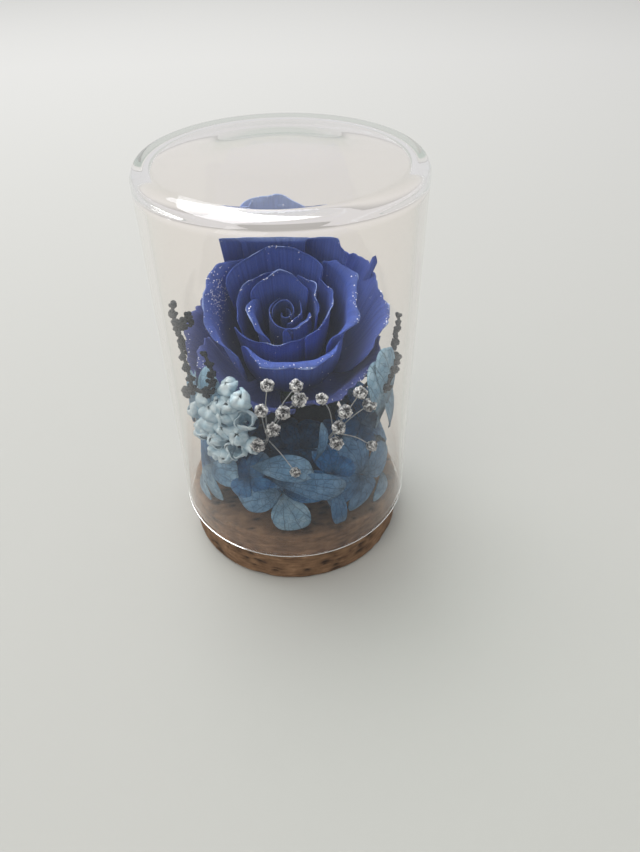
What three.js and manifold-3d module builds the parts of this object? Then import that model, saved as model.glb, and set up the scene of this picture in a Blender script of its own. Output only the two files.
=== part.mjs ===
// A preserved rose in a bottle: a blue rose head stands on a dry foam block in a collar of hydrangea,
// with sprays of small dried flowers round it. The arrangement is glued on a cork stopper, and a
// clear glass bottle is pushed over it, mouth down.
// Millimetres, +Z up. The origin is the centre of the cork's flat underside. The front is -Y, and a
// bearing is in degrees from the front, counted towards +X.
import * as THREE from "three";
import { mergeVertices } from "three/addons/utils/BufferGeometryUtils.js";
import Module from "manifold-3d";

const wasm = await Module();
wasm.setup();

// ---- Driving dimensions ----
const BOTTLE = {
  radius: 32.5, // outside of the wall
  wall: 2.2,
  mouth: 11.3, // height of the rim, which sits on the cork's step
  top: 108,
  crown: 2.8, // thickness of the closed end
  shoulder: 3, // outside rounding of the closed end
  dimple: 15.5, // radius of the shallow dish left in the closed end
  dish: 0.15,
  slope: 8, // width of the ring where the dish starts
  sides: 48,
};
const CORK = { head: 30.9, step: 11, plug: 29.9, tip: 29.2, height: 17, edge: 1.2, sides: 48 };
const FOAM = { centre: [0, 2], radius: 14, top: 37, edge: 2.5, sides: 24 };
const GAP = 0.3; // clearance round a stem in its hole, and between a petal and the glass
const EASE = { wall: 4, floor: 2 }; // how far from the glass and the cork a petal starts to bend
const PETAL = 0.65; // blade thickness of the rose's petals
const SEPAL = 0.6; // blade thickness of the hydrangea's petals and the rose's sepals

// The rose head: where its receptacle starts, and how far its axis leans to the front.
const ROSE = { base: [-0.8, 8, 47.5], lean: 27, throat: 4.2 };
// The straight part of its stem, which stands in a plain hole in the foam.
const ROSE_HOLE = { bottom: [-0.8, 9.5, 27], top: [-0.8, 9.5, 39], radius: 1.6 };
// A sprig's shank: how deep it is pushed into the foam, and how far it stands out of it.
const SHANK = { buried: 7, proud: 1.5 };
const CUT_PAST = 3; // how far a cut for a hole runs past the face it opens in

// ---- Solids ----
function solidOf(geometry) {
  const bare = geometry.clone();
  bare.deleteAttribute("normal");
  bare.deleteAttribute("uv");
  const merged = mergeVertices(bare, 1e-4);
  const mesh = new wasm.Mesh({
    numProp: 3,
    vertProperties: new Float32Array(merged.attributes.position.array),
    triVerts: new Uint32Array(merged.index.array),
  });
  return new wasm.Manifold(mesh);
}

function geometryOf(solid) {
  const { numProp, vertProperties, triVerts } = solid.getMesh();
  const positions = new Float32Array((vertProperties.length / numProp) * 3);
  for (let i = 0; i < positions.length / 3; i++)
    for (let k = 0; k < 3; k++) positions[3 * i + k] = vertProperties[numProp * i + k];
  const geometry = new THREE.BufferGeometry();
  geometry.setAttribute("position", new THREE.BufferAttribute(positions, 3));
  geometry.setIndex(new THREE.BufferAttribute(new Uint32Array(triVerts), 1));
  const flat = geometry.toNonIndexed();
  flat.computeVertexNormals();
  return flat;
}

// Joins solids that cross each other, fills what they seal in and drops loose scraps.
function fuse(solids) {
  const joined = solids.reduce((whole, next) => whole.add(next));
  const bodies = joined.decompose();
  return bodies.reduce((largest, body) => (body.volume() > largest.volume() ? body : largest));
}

// ---- Placing ----
const radians = THREE.MathUtils.degToRad;
const vec = (x, y, z) => new THREE.Vector3(x, y, z);

// A point at a bearing, a distance from the bottle's axis and a height.
function around(bearing, radius, height) {
  const a = radians(bearing);
  return vec(radius * Math.sin(a), -radius * Math.cos(a), height);
}

// Bends a point that comes near the glass or the cork smoothly back, so that it stays clear of both.
function bendClear(p) {
  const free = BOTTLE.radius - BOTTLE.wall - GAP - PETAL - EASE.wall;
  const r = Math.hypot(p.x, p.y);
  if (r > free) {
    const bent = free + EASE.wall * (1 - Math.exp((free - r) / EASE.wall));
    p.x *= bent / r;
    p.y *= bent / r;
  }
  const floor = CORK.height + PETAL;
  const under = floor + EASE.floor - p.z;
  if (under > 0) p.z = floor + EASE.floor * Math.exp(-under / EASE.floor);
  return p;
}

// A closed solid from a thin surface: its points are pushed to both sides along their normals, and
// the rim, an anticlockwise loop of point numbers, is closed with a band.
function thickened(points, index, rim, thickness) {
  const surface = new THREE.BufferGeometry().setFromPoints(points);
  surface.setIndex(index);
  surface.computeVertexNormals();
  const normal = surface.attributes.normal;
  const positions = [];
  for (const side of [0.5, -0.5])
    points.forEach((point, i) => {
      const push = vec(normal.getX(i), normal.getY(i), normal.getZ(i)).multiplyScalar(side * thickness);
      positions.push(...push.add(point));
    });
  const count = points.length;
  const faces = [...index];
  for (let i = 0; i < index.length; i += 3)
    faces.push(count + index[i], count + index[i + 2], count + index[i + 1]);
  rim.forEach((a, i) => {
    const b = rim[(i + 1) % rim.length];
    faces.push(a, count + a, count + b, a, count + b, b);
  });
  const geometry = new THREE.BufferGeometry();
  geometry.setAttribute("position", new THREE.Float32BufferAttribute(positions, 3));
  geometry.setIndex(faces);
  return solidOf(geometry);
}

// A thin blade: a grid of points on surface(s, t), s from -1 to 1 across and t from 0 to 1 along,
// thickened to both sides. Both faces are split alike.
function blade(surface, across, along, thickness) {
  const row = across + 1;
  const points = [];
  for (let j = 0; j <= along; j++)
    for (let i = 0; i <= across; i++) points.push(surface((2 * i) / across - 1, j / along));
  const index = [];
  for (let j = 0; j < along; j++)
    for (let i = 0; i < across; i++) {
      const a = j * row + i;
      const [b, c, d] = [a + 1, a + row + 1, a + row];
      index.push(a, b, c, a, c, d);
    }
  const last = along * row;
  const rim = [];
  for (let i = 0; i < across; i++) rim.push(i);
  for (let j = 0; j < along; j++) rim.push(j * row + across);
  for (let i = across; i > 0; i--) rim.push(last + i);
  for (let j = along; j > 0; j--) rim.push(j * row);
  return thickened(points, index, rim, thickness);
}

// A thin round twig along points.
function twig(points, radius, sides = 5, steps = 2 * (points.length - 1)) {
  const section = new THREE.Shape();
  for (let i = 0; i < sides; i++) {
    const a = (2 * Math.PI * i) / sides;
    if (i) section.lineTo(radius * Math.cos(a), radius * Math.sin(a));
    else section.moveTo(radius, 0);
  }
  const path = new THREE.CatmullRomCurve3(points);
  return solidOf(
    new THREE.ExtrudeGeometry(section, { steps, extrudePath: path, curveSegments: 1 }),
  );
}

// A straight round peg from a to b.
function peg(a, b, radius, sides = 8) {
  const along = b.clone().sub(a);
  const geometry = new THREE.CylinderGeometry(radius, radius, along.length(), sides);
  const turn = new THREE.Quaternion().setFromUnitVectors(vec(0, 1, 0), along.clone().normalize());
  geometry.applyQuaternion(turn);
  const middle = a.clone().add(b).multiplyScalar(0.5);
  return solidOf(geometry.translate(middle.x, middle.y, middle.z));
}

// A turned solid from [radius, height] points, about +Z.
function turned(profile, sides) {
  const points = profile.map(([r, z]) => new THREE.Vector2(r, z));
  return solidOf(new THREE.LatheGeometry(points, sides).rotateX(Math.PI / 2));
}

// Points of a rounding in a profile: a quarter or part turn about (r, z).
function rounding(r, z, radius, from, to, steps = 4) {
  const points = [];
  for (let i = 0; i <= steps; i++) {
    const a = radians(from + ((to - from) * i) / steps);
    points.push([r + radius * Math.cos(a), z + radius * Math.sin(a)]);
  }
  return points;
}

// ---- The bottle and its stopper ----
function glassBottle() {
  const { radius, wall, mouth, top, crown, shoulder, dimple, dish, slope, sides } = BOTTLE;
  const lip = wall / 2;
  const inside = radius - wall;
  const round = shoulder - 0.5;
  return turned(
    [
      [0, top - crown],
      ...rounding(inside - round, top - crown - round, round, 90, 0, 3),
      ...rounding(radius - lip, mouth + lip, lip, -180, 0, 4),
      ...rounding(radius - shoulder, top - shoulder, shoulder, 0, 90, 3),
      [dimple + slope / 2, top],
      [dimple - slope / 2, top - dish],
      [0, top - dish],
    ],
    sides,
  );
}

function corkStopper() {
  const { head, step, plug, tip, height, edge, sides } = CORK;
  return turned(
    [
      [0, 0],
      ...rounding(head - edge, edge, edge, -90, 0, 3),
      [head, step],
      [plug, step],
      [tip, height - edge / 2],
      [tip - edge / 2, height],
      [0, height],
    ],
    sides,
  );
}

// ---- The rose ----
// A point in the rose head: at a bearing about its leaning axis, a distance from it and up it.
function inRose(bearing, radius, height) {
  const lean = radians(ROSE.lean);
  const a = radians(bearing);
  const front = radius * Math.cos(a);
  return vec(
    ROSE.base[0] + radius * Math.sin(a),
    ROSE.base[1] - front * Math.cos(lean) - height * Math.sin(lean),
    ROSE.base[2] - front * Math.sin(lean) + height * Math.cos(lean),
  );
}

// The petals from the eye outwards: bearing, half its sweep in degrees, radius of its waist, radius
// and height of its rim, angle and radius of its rolled lip, tuck (how much further out its right
// edge lies), peak (how far its middle stands above its sides), ruffle (waving of the rim) and
// crease (how straight it runs across, with its edges standing out as corners).
const ROSE_PETALS = [
  [20, 150, 1.7, 1.2, 27.0, 0, 1.0, 0.5, 0.3, 0.0, 0.0],
  [170, 120, 2.9, 2.6, 28.2, 0, 1.0, 0.6, 0.8, 0.0, 0.0],
  [285, 92, 4.2, 3.8, 28.0, 12, 1.0, 0.7, 0.6, 0.1, 0.1],
  [70, 64, 5.0, 3.6, 27.4, 15, 1.0, 0.9, 0.8, 0.2, 0.3],
  [185, 62, 6.4, 7.2, 31.0, 15, 1.5, 0.9, 3.0, 0.2, 0.3],
  [286, 48, 6.8, 7.4, 28.2, 85, 1.8, 0.6, 1.0, 0.2, 0.5],
  [42, 50, 6.8, 5.2, 27.0, 55, 1.4, 0.4, 0.6, 0.2, 0.5],
  [114, 46, 8.0, 8.2, 29.8, 25, 1.6, 0.9, 2.6, 0.3, 0.45],
  [232, 54, 9.2, 10.4, 30.0, 20, 1.6, 0.9, 1.0, 0.3, 0.2],
  [340, 60, 9.4, 9.2, 26.6, 25, 1.4, -2.4, 0.4, 0.3, 0.3],
  [82, 52, 10.4, 10.8, 28.8, 45, 2.0, 1.8, 1.4, 0.3, 0.0],
  [190, 58, 12.2, 14.2, 33.0, 20, 2.5, 1.0, 0.8, 0.4, 0.0],
  [4, 54, 14.4, 15.0, 28.6, 100, 2.3, 1.2, 0.2, 0.5, 0.0],
  [93, 50, 14.6, 15.6, 30.0, 95, 2.4, 1.2, 0.4, 0.5, 0.0],
  [268, 54, 14.8, 17.0, 32.0, 62, 3.0, 1.2, 0.2, 0.4, 0.0],
  [186, 26, 15.4, 19.3, 40.6, 20, 2.6, 1.0, 0.4, 0.5, 0.2],
  [318, 46, 18.4, 21.4, 20.0, 85, 2.6, 1.3, 1.8, 0.4, 0.0],
  [42, 46, 18.4, 22.0, 20.2, 65, 2.8, 1.3, 0.6, 0.5, 0.0],
  [98, 42, 19.0, 23.6, 26.2, 45, 2.8, 1.3, 0.8, 0.8, 0.0],
  [154, 31, 18.4, 20.0, 35.8, 32, 2.6, 1.3, 0.8, 0.5, 0.0],
  [198, 28, 18.4, 19.6, 39.0, 25, 2.4, 1.3, 0.8, 0.4, 0.0],
  [266, 34, 18.6, 23.2, 17.6, 60, 2.9, 1.3, 2.0, 0.6, 0.0],
];
const LIP_STARTS = 0.8; // the share of a petal's length where its lip starts to roll
const SIDES_LOWER = 0.22; // how much lower a petal's sides end than its middle
const FOOT_SWEEP = 0.45; // a petal's sweep at its foot, as a share of its whole sweep

// The side view of a petal up to its lip: from the receptacle out to the waist and up to the rim.
function petalSide(waist, rim, height) {
  return new THREE.CubicBezierCurve(
    new THREE.Vector2(0.4 * ROSE.throat, 1.2),
    new THREE.Vector2(1.05 * waist, 1 + 0.1 * height),
    new THREE.Vector2(waist, 0.6 * height),
    new THREE.Vector2(rim, height),
  );
}

// One petal, as a surface: its side view, swept about the axis and ending in an arc for the lip.
function rosePetal(row) {
  const [bearing, sweep, waist, rim, height, lipAngle, lipRadius, tuck, peak, ruffle, crease] = row;
  const side = petalSide(waist, rim, height);
  const out = side.getTangent(1);
  const heading = Math.atan2(out.x, out.y);
  return (s, t) => {
    const along = Math.max(0, t) * (1 - SIDES_LOWER * Math.abs(s) ** 3);
    const p = side.getPoint(Math.min(1, along / LIP_STARTS));
    if (along > LIP_STARTS) {
      const roll = radians(lipAngle) * ((along - LIP_STARTS) / (1 - LIP_STARTS));
      p.x += lipRadius * (Math.cos(heading) - Math.cos(heading + roll));
      p.y += lipRadius * (Math.sin(heading + roll) - Math.sin(heading));
    }
    const high = along ** 3;
    p.x += tuck * s * (0.7 + 0.3 * along) + ruffle * Math.sin(7 * s + bearing) * high;
    p.y += peak * (1 - Math.abs(s)) * high;
    const opened = Math.sin(Math.min(1, 1.5 * along) * 0.5 * Math.PI);
    const turn = s * sweep * (FOOT_SWEEP + (1 - FOOT_SWEEP) * opened);
    p.x *= 1 + crease * high * (1 / Math.cos(radians(0.9 * turn)) - 1);
    return bendClear(inRose(bearing + turn, Math.max(0.4, p.x), p.y));
  };
}

// The solid receptacle that the petals stand on.
const HEART = [[0, 0.8], [3.6, 0.8], [9, 4], [14, 9], [12, 14], [7, 17.5], [3, 21], [0, 22.5]];

function roseBloom() {
  const core = turned(HEART, 14).rotate([ROSE.lean, 0, 0]).translate(ROSE.base);
  const petals = ROSE_PETALS.map((petal, i) => {
    const across = i < 3 ? 8 : 6;
    const along = i < 9 ? 3 : 4;
    return blade(rosePetal(petal), across, along, PETAL);
  });
  return fuse([core, ...petals]);
}

// The green cup under the petals, its five sepals, and the short stem that stands in the foam.
const CALYX = [[0, -4.5], [1.5, -4.2], [2.7, -2], [3.3, 0.5], [0, 0.5]];
const SEPALS = { first: 20, count: 5, halfWidth: 2, tip: 0.15, fold: 0.4 };
const SEPAL_SIDE = [[1.5, -0.6], [8, -0.8], [11, -5]];

function sepal(bearing) {
  const side = new THREE.QuadraticBezierCurve(
    ...SEPAL_SIDE.map(([r, z]) => new THREE.Vector2(r, z)),
  );
  return (s, t) => {
    const p = side.getPoint(Math.min(1, Math.max(0, t)));
    const half = SEPALS.halfWidth * (1 - (1 - SEPALS.tip) * t);
    const turn = s * THREE.MathUtils.radToDeg(half / p.x);
    return inRose(bearing + turn, p.x, p.y - SEPALS.fold * Math.abs(s));
  };
}

function roseStem() {
  const calyx = turned(CALYX, 12).rotate([ROSE.lean, 0, 0]).translate(ROSE.base);
  const sepals = Array.from({ length: SEPALS.count }, (_, i) => {
    const bearing = SEPALS.first + (360 * i) / SEPALS.count;
    return blade(sepal(bearing), 2, 3, SEPAL);
  });
  const top = inRose(0, 0, -3.5);
  const socket = vec(...ROSE_HOLE.top);
  const bend = top.clone().lerp(socket, 0.5).add(vec(0, 1.2, 0));
  const inside = socket.clone().add(vec(0, 0, -0.6));
  const neck = twig([top, bend, inside], ROSE_HOLE.radius, 6, 4);
  const straight = peg(vec(...ROSE_HOLE.bottom), socket, ROSE_HOLE.radius, 6);
  return fuse([calyx, ...sepals, neck, straight]);
}

// ---- The foam block ----
// Every sprig has a straight shank pushed into the foam from its side: its bearing, the height where
// it comes out, how steeply it rises, and its radius.
const SHANKS = {
  hydrangea_front: [4, 26, 10, 0.8],
  hydrangea_left: [-62, 28, 15, 0.8],
  hydrangea_right: [66, 28, 15, 0.8],
  hydrangea_back: [180, 23, 20, 0.8],
  pale_spray: [-49, 33, 45, 0.7],
  gypsophila_left: [-33, 33, 45, 0.6],
  gypsophila_right: [30, 33, 45, 0.6],
  dark_spray_left: [-104, 33, 45, 0.6],
  dark_spray_right: [101, 33, 45, 0.6],
};

// A shank's lower and upper end, or those of its hole, which is a little deeper and cut further out.
function shankEnds(name, deeper = 0, further = 0) {
  const [bearing, height, rise] = SHANKS[name];
  const out = around(bearing, 1, 0);
  const slope = vec(out.x, out.y, Math.tan(radians(rise))).normalize();
  const exit = around(bearing, FOAM.radius, height).add(vec(...FOAM.centre, 0));
  const bottom = exit.clone().addScaledVector(slope, -SHANK.buried - deeper);
  return [bottom, exit.addScaledVector(slope, SHANK.proud + further)];
}

function shank(name) {
  return peg(...shankEnds(name), SHANKS[name][3], 6);
}

function foamBlock() {
  const { centre, radius, top, edge, sides } = FOAM;
  const block = turned(
    [[0, CORK.height], [radius, CORK.height], [radius, top - edge], [radius - edge, top], [0, top]],
    sides,
  );
  const holes = Object.keys(SHANKS).map((name) =>
    peg(...shankEnds(name, GAP, CUT_PAST), SHANKS[name][3] + GAP, 6),
  );
  const bottom = vec(...ROSE_HOLE.bottom).add(vec(0, 0, -GAP));
  const mouth = vec(...ROSE_HOLE.top).add(vec(0, 0, CUT_PAST));
  holes.push(peg(bottom, mouth, ROSE_HOLE.radius + GAP, 6));
  return holes.reduce((rest, hole) => rest.subtract(hole), block.translate([...centre, 0]));
}

// ---- The hydrangea collar ----
// Turns a local frame so that its +Z faces a bearing and a rise, and its +X is spun about that.
function facing(bearing, rise, spin) {
  const out = around(bearing, Math.cos(radians(rise)), Math.sin(radians(rise)));
  const face = new THREE.Quaternion().setFromUnitVectors(vec(0, 0, 1), out.normalize());
  return face.multiply(new THREE.Quaternion().setFromAxisAngle(vec(0, 0, 1), radians(spin)));
}

// A floret's four broad petals are one blade: rounded lobes, one pair lying over the other. Its
// points run round the eye in rings, RING_STEPS to a petal.
const RING_STEPS = 5;
const RINGS = 2;
const LOBE = {
  notch: 0.7, // how far the notches between two petals cut in, as a share of their length
  blunt: 3.5, // how blunt a petal's end is
  overlap: 0.9, // how far one pair lies above the other
  arch: 0.1, // rise of a petal's middle, as a share of its length
};

function floretPoint(eye, turn, length, droop, step, ring) {
  const quarter = step / RING_STEPS;
  const petal = Math.floor(quarter);
  const across = 2 * (quarter - petal) - 1; // -1 and 1 in the notches between petals
  const broad = Math.sign(across) * Math.abs(across) ** 0.6;
  const along = (ring / RINGS) * (1 - LOBE.notch * Math.abs(across) ** LOBE.blunt);
  const a = radians(90 * petal + 45 * broad);
  const lift = (petal % 2 ? -1 : 1) * LOBE.overlap * along * (1 - across * across);
  const arch = LOBE.arch * length * Math.sin(Math.PI * along) - droop * along * along;
  const point = vec(length * along * Math.cos(a), length * along * Math.sin(a), lift + arch);
  return bendClear(point.applyQuaternion(turn).add(eye));
}

function floretBlade(eye, turn, length, droop) {
  const steps = 4 * RING_STEPS;
  const middle = [eye.clone()];
  for (let ring = 1; ring <= RINGS; ring++)
    for (let step = 0; step < steps; step++)
      middle.push(floretPoint(eye, turn, length, droop, step, ring));
  const index = [];
  const at = (ring, step) => (ring ? 1 + (ring - 1) * steps + (step % steps) : 0);
  for (let step = 0; step < steps; step++) index.push(0, at(1, step), at(1, step + 1));
  for (let ring = 1; ring < RINGS; ring++)
    for (let step = 0; step < steps; step++) {
      const [a, b] = [at(ring, step), at(ring + 1, step)];
      const [c, d] = [at(ring + 1, step + 1), at(ring, step + 1)];
      index.push(a, b, c, a, c, d);
    }
  const rim = Array.from({ length: steps }, (_, step) => at(RINGS, step));
  return thickened(middle, index, rim, SEPAL);
}

// Radii of the thin round stalks.
const STALK = { hydrangea: 0.5, paleStem: 0.6, pale: 0.35, gypsophilaStem: 0.5, gypsophila: 0.3 };
const STRAIGHT = 2.5; // how far a floret's stalk runs straight behind its eye

// A floret on a thin stalk from the bunch's fork.
function floret([bearing, radius, height, faceBearing, rise, spin, length, droop], fork) {
  const eye = around(bearing, radius, height);
  const turn = facing(faceBearing, rise, spin);
  const back = vec(0, 0, -STRAIGHT).applyQuaternion(turn).add(eye);
  const middle = fork.clone().lerp(back, 0.5).add(vec(0, 0, -0.8));
  const carrier = twig([fork, middle, back, eye], STALK.hydrangea, 3, 4);
  return fuse([floretBlade(eye, turn, length, droop), carrier]);
}

// The florets of each bunch: bearing, distance from the axis and height of the eye, bearing and rise
// of the face, spin, length of the petals and how far their ends hang back.
const FLORETS = {
  hydrangea_front: [
    [-8, 24.5, 30.0, -8, 36, 8, 12.3, 4.2],
    [4, 19.0, 40.0, 4, 40, 45, 8.0, 1.0],
  ],
  hydrangea_left: [
    [-60, 25.5, 31.5, -60, 12, 42, 11.5, 2.0],
    [-77, 23.3, 45.4, -70, 14, 45, 9.2, 0.5],
    [-98, 25.0, 28.5, -98, 15, 5, 10.5, 1.5],
    [-70, 21.5, 40.0, -64, 30, 10, 8.8, 1.0],
  ],
  hydrangea_right: [
    [41, 25.5, 30.5, 41, 14, 45, 12.0, 2.0],
    [77, 23.3, 47.0, 68, 14, 45, 9.8, 0.5],
    [94, 25.0, 27.5, 94, 15, 40, 10.5, 1.5],
    [60, 20.5, 41.0, 54, 30, 22, 8.8, 1.0],
  ],
  hydrangea_back: [
    [127, 26.5, 48.0, 127, 8, 40, 10.5, 0.5],
    [147, 25.0, 28.5, 147, 18, 5, 11.0, 1.5],
    [180, 26.0, 47.5, 180, 8, 45, 10.5, 0.5],
    [208, 25.0, 28.5, 208, 18, 10, 11.0, 1.5],
    [233, 26.5, 48.0, 233, 8, 40, 10.5, 0.5],
  ],
};

function hydrangeaBunch(name) {
  const [, fork] = shankEnds(name);
  return fuse([shank(name), ...FLORETS[name].map((row) => floret(row, fork))]);
}

// ---- The sprays of small dried flowers ----
// A small blossom turned from a profile, with its rim drawn into lobes.
const BLOSSOM = { lobes: 5, depth: 0.16 };

function blossom(at, turn, profile, size) {
  const { lobes, depth } = BLOSSOM;
  const points = profile.map(([r, z]) => new THREE.Vector2(r * size, z * size));
  const geometry = new THREE.LatheGeometry(points, 2 * lobes).rotateX(Math.PI / 2);
  const position = geometry.attributes.position;
  for (let i = 0; i < position.count; i++) {
    const [x, y] = [position.getX(i), position.getY(i)];
    const wave = depth * Math.cos(lobes * Math.atan2(y, x));
    const lobe = 1 + wave * Math.min(1, Math.hypot(x, y) / size);
    position.setXY(i, x * lobe, y * lobe);
  }
  return solidOf(geometry.applyQuaternion(turn).translate(at.x, at.y, at.z));
}

// The way a blossom looks: mostly on along its stalk, and a little outwards and up.
const OUTLOOK = { outward: 0.6, up: 0.5 };

function outlook(fork, at) {
  const way = at.clone().sub(fork).normalize();
  way.add(vec(at.x, at.y, 0).setLength(OUTLOOK.outward));
  way.z += OUTLOOK.up;
  return new THREE.Quaternion().setFromUnitVectors(vec(0, 0, 1), way.normalize());
}

// Side views of the blossoms, for a radius of 1.
const CUP = [[0, -0.42], [0.62, -0.2], [1, 0.62], [0.72, 0.56], [0, 0.05]];
const PUFF = [[0, -0.75], [0.75, -0.3], [1, 0.4], [0.5, 0.35], [0, 0.7]];

// A spray's fork, and its blossoms: bearing, distance from the axis, height and radius.
const PALE = {
  fork: [-40, 21.5, 44],
  blossoms: [
    [-25, 27.3, 61.6, 2.0], [-24, 26.7, 54.6, 2.1], [-45, 26.3, 53.8, 2.3], [-34, 26.5, 54.6, 2.4],
    [-48, 26.2, 49.6, 2.3], [-56, 26.4, 45.4, 2.2], [-43, 26.4, 45.6, 2.3], [-29, 26.6, 49.6, 2.2],
    [-31, 26.8, 44.8, 2.2], [-36.5, 26.4, 50.0, 2.2], [-32, 27.2, 58.6, 2.0], [-38, 26.8, 41.8, 2.1],
  ],
};
const GYPSOPHILA = {
  gypsophila_left: {
    fork: [-17, 22, 46],
    blossoms: [
      [-11.3, 26.8, 66.3, 1.6], [2.2, 26.8, 66.2, 1.6], [3.5, 26.9, 62.3, 1.9], [-4.7, 26.8, 58.6, 1.8],
      [-15.3, 26.8, 58.8, 1.7], [-10.3, 26.8, 53.3, 1.9], [-18, 27.5, 48.4, 1.8], [0, 27.4, 40, 1.4],
    ],
  },
  gypsophila_right: {
    fork: [27, 22, 46],
    blossoms: [
      [14.5, 26.8, 61.6, 1.5], [36.2, 26.8, 59.6, 1.7], [43.4, 26.8, 54.1, 1.8],
      [26.8, 26.8, 55.8, 1.8], [23.4, 26.8, 51.5, 1.8], [22.2, 26.8, 46.8, 1.8], [44, 27.9, 41, 1.5],
    ],
  },
};

// The swelling where a spray forks, and a thin stalk that leaves it and arches up to a blossom.
const KNOT = 1.1;
const ARCH = { outward: 0.06, up: 0.12 }; // rise of a stalk's middle, as shares of its length

function knot(at) {
  return solidOf(new THREE.IcosahedronGeometry(KNOT).translate(at.x, at.y, at.z));
}

function stalk(fork, to, radius) {
  const start = to.clone().sub(fork).setLength(0.7 * KNOT).add(fork);
  const middle = start.clone().lerp(to, 0.5);
  const reach = start.distanceTo(to);
  middle.add(vec(middle.x, middle.y, 0).setLength(ARCH.outward * reach));
  middle.z += ARCH.up * reach;
  return twig([start, middle, to], radius, 3, 2);
}

// A spray: its shank, a stem up to the fork, and its blossoms on stalks of their own.
function spray(name, { fork, blossoms }, profile, stemRadius, stalkRadius) {
  const [, exit] = shankEnds(name);
  const start = around(...fork);
  const heads = blossoms.map(([bearing, radius, height, size]) => {
    const at = around(bearing, radius, height);
    return fuse([blossom(at, outlook(start, at), profile, size), stalk(start, at, stalkRadius)]);
  });
  return fuse([shank(name), twig([exit, start], stemRadius, 4, 1), knot(start), ...heads]);
}

// The branches of a dark spray: points of each branch as bearing, distance from the axis and height.
const DARK = {
  dark_spray_left: [
    [[-107, 24.4, 43], [-94, 27.6, 58], [-74, 27.9, 72], [-70, 27.9, 79]],
    [[-74, 27.9, 72], [-58, 28, 76], [-47, 28, 80.5]],
    [
      [-107, 24.4, 43], [-93, 28, 46], [-76, 28, 51],
      [-58, 27.9, 58], [-61, 27.8, 63.5], [-72, 27.8, 67.5],
    ],
    [[-58, 27.8, 58], [-45, 27.9, 60.5], [-38.5, 27.9, 66.5], [-42, 27.9, 72]],
  ],
  dark_spray_right: [
    [[106, 24, 43], [94, 27.6, 55], [85, 27.9, 65], [82, 27.9, 70]],
    [[94, 27.6, 55], [76, 27.9, 58.5], [62, 27.9, 58.5], [53, 27.9, 55.5]],
  ],
};
const BUD = { radius: 1.3, length: 2.0, spacing: 3.1, beside: 0.8 };
const BRANCH = { radius: 0.5, stem: 0.55, bare: 1 / 3 }; // bare: the share without buds

// A branch with a bud every few millimetres, left and right of it by turns.
function darkBranch(points) {
  const route = points.map((point) => around(...point));
  const curve = new THREE.CatmullRomCurve3(route);
  const count = Math.floor(curve.getLength() / BUD.spacing);
  const solids = [twig(route, BRANCH.radius, 3, route.length)];
  for (let i = Math.floor(count * BRANCH.bare); i <= count; i++) {
    const at = curve.getPoint(i / count);
    const along = curve.getTangent(i / count);
    const out = vec(at.x, at.y, 0).normalize();
    const beside = along.clone().cross(out).multiplyScalar(i % 2 ? BUD.beside : -BUD.beside);
    const bud = new THREE.OctahedronGeometry(1).scale(BUD.radius, BUD.length, BUD.radius);
    bud.applyQuaternion(new THREE.Quaternion().setFromUnitVectors(vec(0, 1, 0), along));
    at.add(beside);
    solids.push(solidOf(bud.translate(at.x, at.y, at.z)));
  }
  return fuse(solids);
}

function darkSpray(name) {
  const [, exit] = shankEnds(name);
  const root = around(...DARK[name][0][0]);
  const branches = DARK[name].map(darkBranch);
  return fuse([shank(name), twig([exit, root], BRANCH.stem, 4, 1), ...branches]);
}

// ---- The whole ----
const group = new THREE.Group();
function add(name, solid, color, roughness, extra = {}) {
  const material = new THREE.MeshStandardMaterial({ color, roughness, metalness: 0, ...extra });
  const mesh = new THREE.Mesh(geometryOf(solid), material);
  mesh.name = name;
  group.add(mesh);
}

add("glass_bottle", glassBottle(), 0xe6eeea, 0.05, { transparent: true, opacity: 0.25 });
add("cork_stopper", corkStopper(), 0x9a6f4c, 0.85);
add("foam_block", foamBlock(), 0x3d4a3a, 0.95);
add("rose_bloom", roseBloom(), 0x2a3a9c, 0.6);
add("rose_stem", roseStem(), 0x4c6b3c, 0.7);
for (const name of Object.keys(FLORETS)) add(name, hydrangeaBunch(name), 0x5f86a8, 0.75);
const paleSpray = spray("pale_spray", PALE, CUP, STALK.paleStem, STALK.pale);
add("pale_spray", paleSpray, 0xb4cdde, 0.7);
for (const [name, form] of Object.entries(GYPSOPHILA)) {
  const tuft = spray(name, form, PUFF, STALK.gypsophilaStem, STALK.gypsophila);
  add(name, tuft, 0xd9d5cf, 0.5);
}
for (const name of Object.keys(DARK)) add(name, darkSpray(name), 0x1e2632, 0.8);

export default group;
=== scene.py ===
"""A preserved rose in a bottle: a blue rose head in a collar of hydrangea and small dried flowers,
on a cork stopper, under a clear glass bottle that stands mouth down.

Lengths in the sections are millimetres and become metres where a mesh is made. A bearing is in
degrees from the front, -Y, counted towards +X.
"""

import math

import bpy
import numpy as np
from mathutils import Matrix, Vector, noise


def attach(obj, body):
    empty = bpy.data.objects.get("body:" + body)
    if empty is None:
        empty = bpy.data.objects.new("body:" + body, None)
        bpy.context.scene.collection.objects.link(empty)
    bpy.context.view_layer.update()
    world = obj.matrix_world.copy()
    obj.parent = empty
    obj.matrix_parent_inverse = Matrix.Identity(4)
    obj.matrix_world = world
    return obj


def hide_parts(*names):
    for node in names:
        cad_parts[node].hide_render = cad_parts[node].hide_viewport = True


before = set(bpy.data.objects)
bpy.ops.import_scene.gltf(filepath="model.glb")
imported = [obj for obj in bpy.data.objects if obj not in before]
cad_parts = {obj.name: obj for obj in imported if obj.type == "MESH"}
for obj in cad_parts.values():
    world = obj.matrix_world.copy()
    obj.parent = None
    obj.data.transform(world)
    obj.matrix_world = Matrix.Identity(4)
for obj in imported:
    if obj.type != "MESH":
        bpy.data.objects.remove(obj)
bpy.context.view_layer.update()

# ---- Cork stopper ----
# A disc of natural bark cork, turned with a head that stands on the table, a step that the glass rim
# sits on, and a plug inside the mouth. Its pores are dark, and stretched along the bark's growth.

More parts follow.
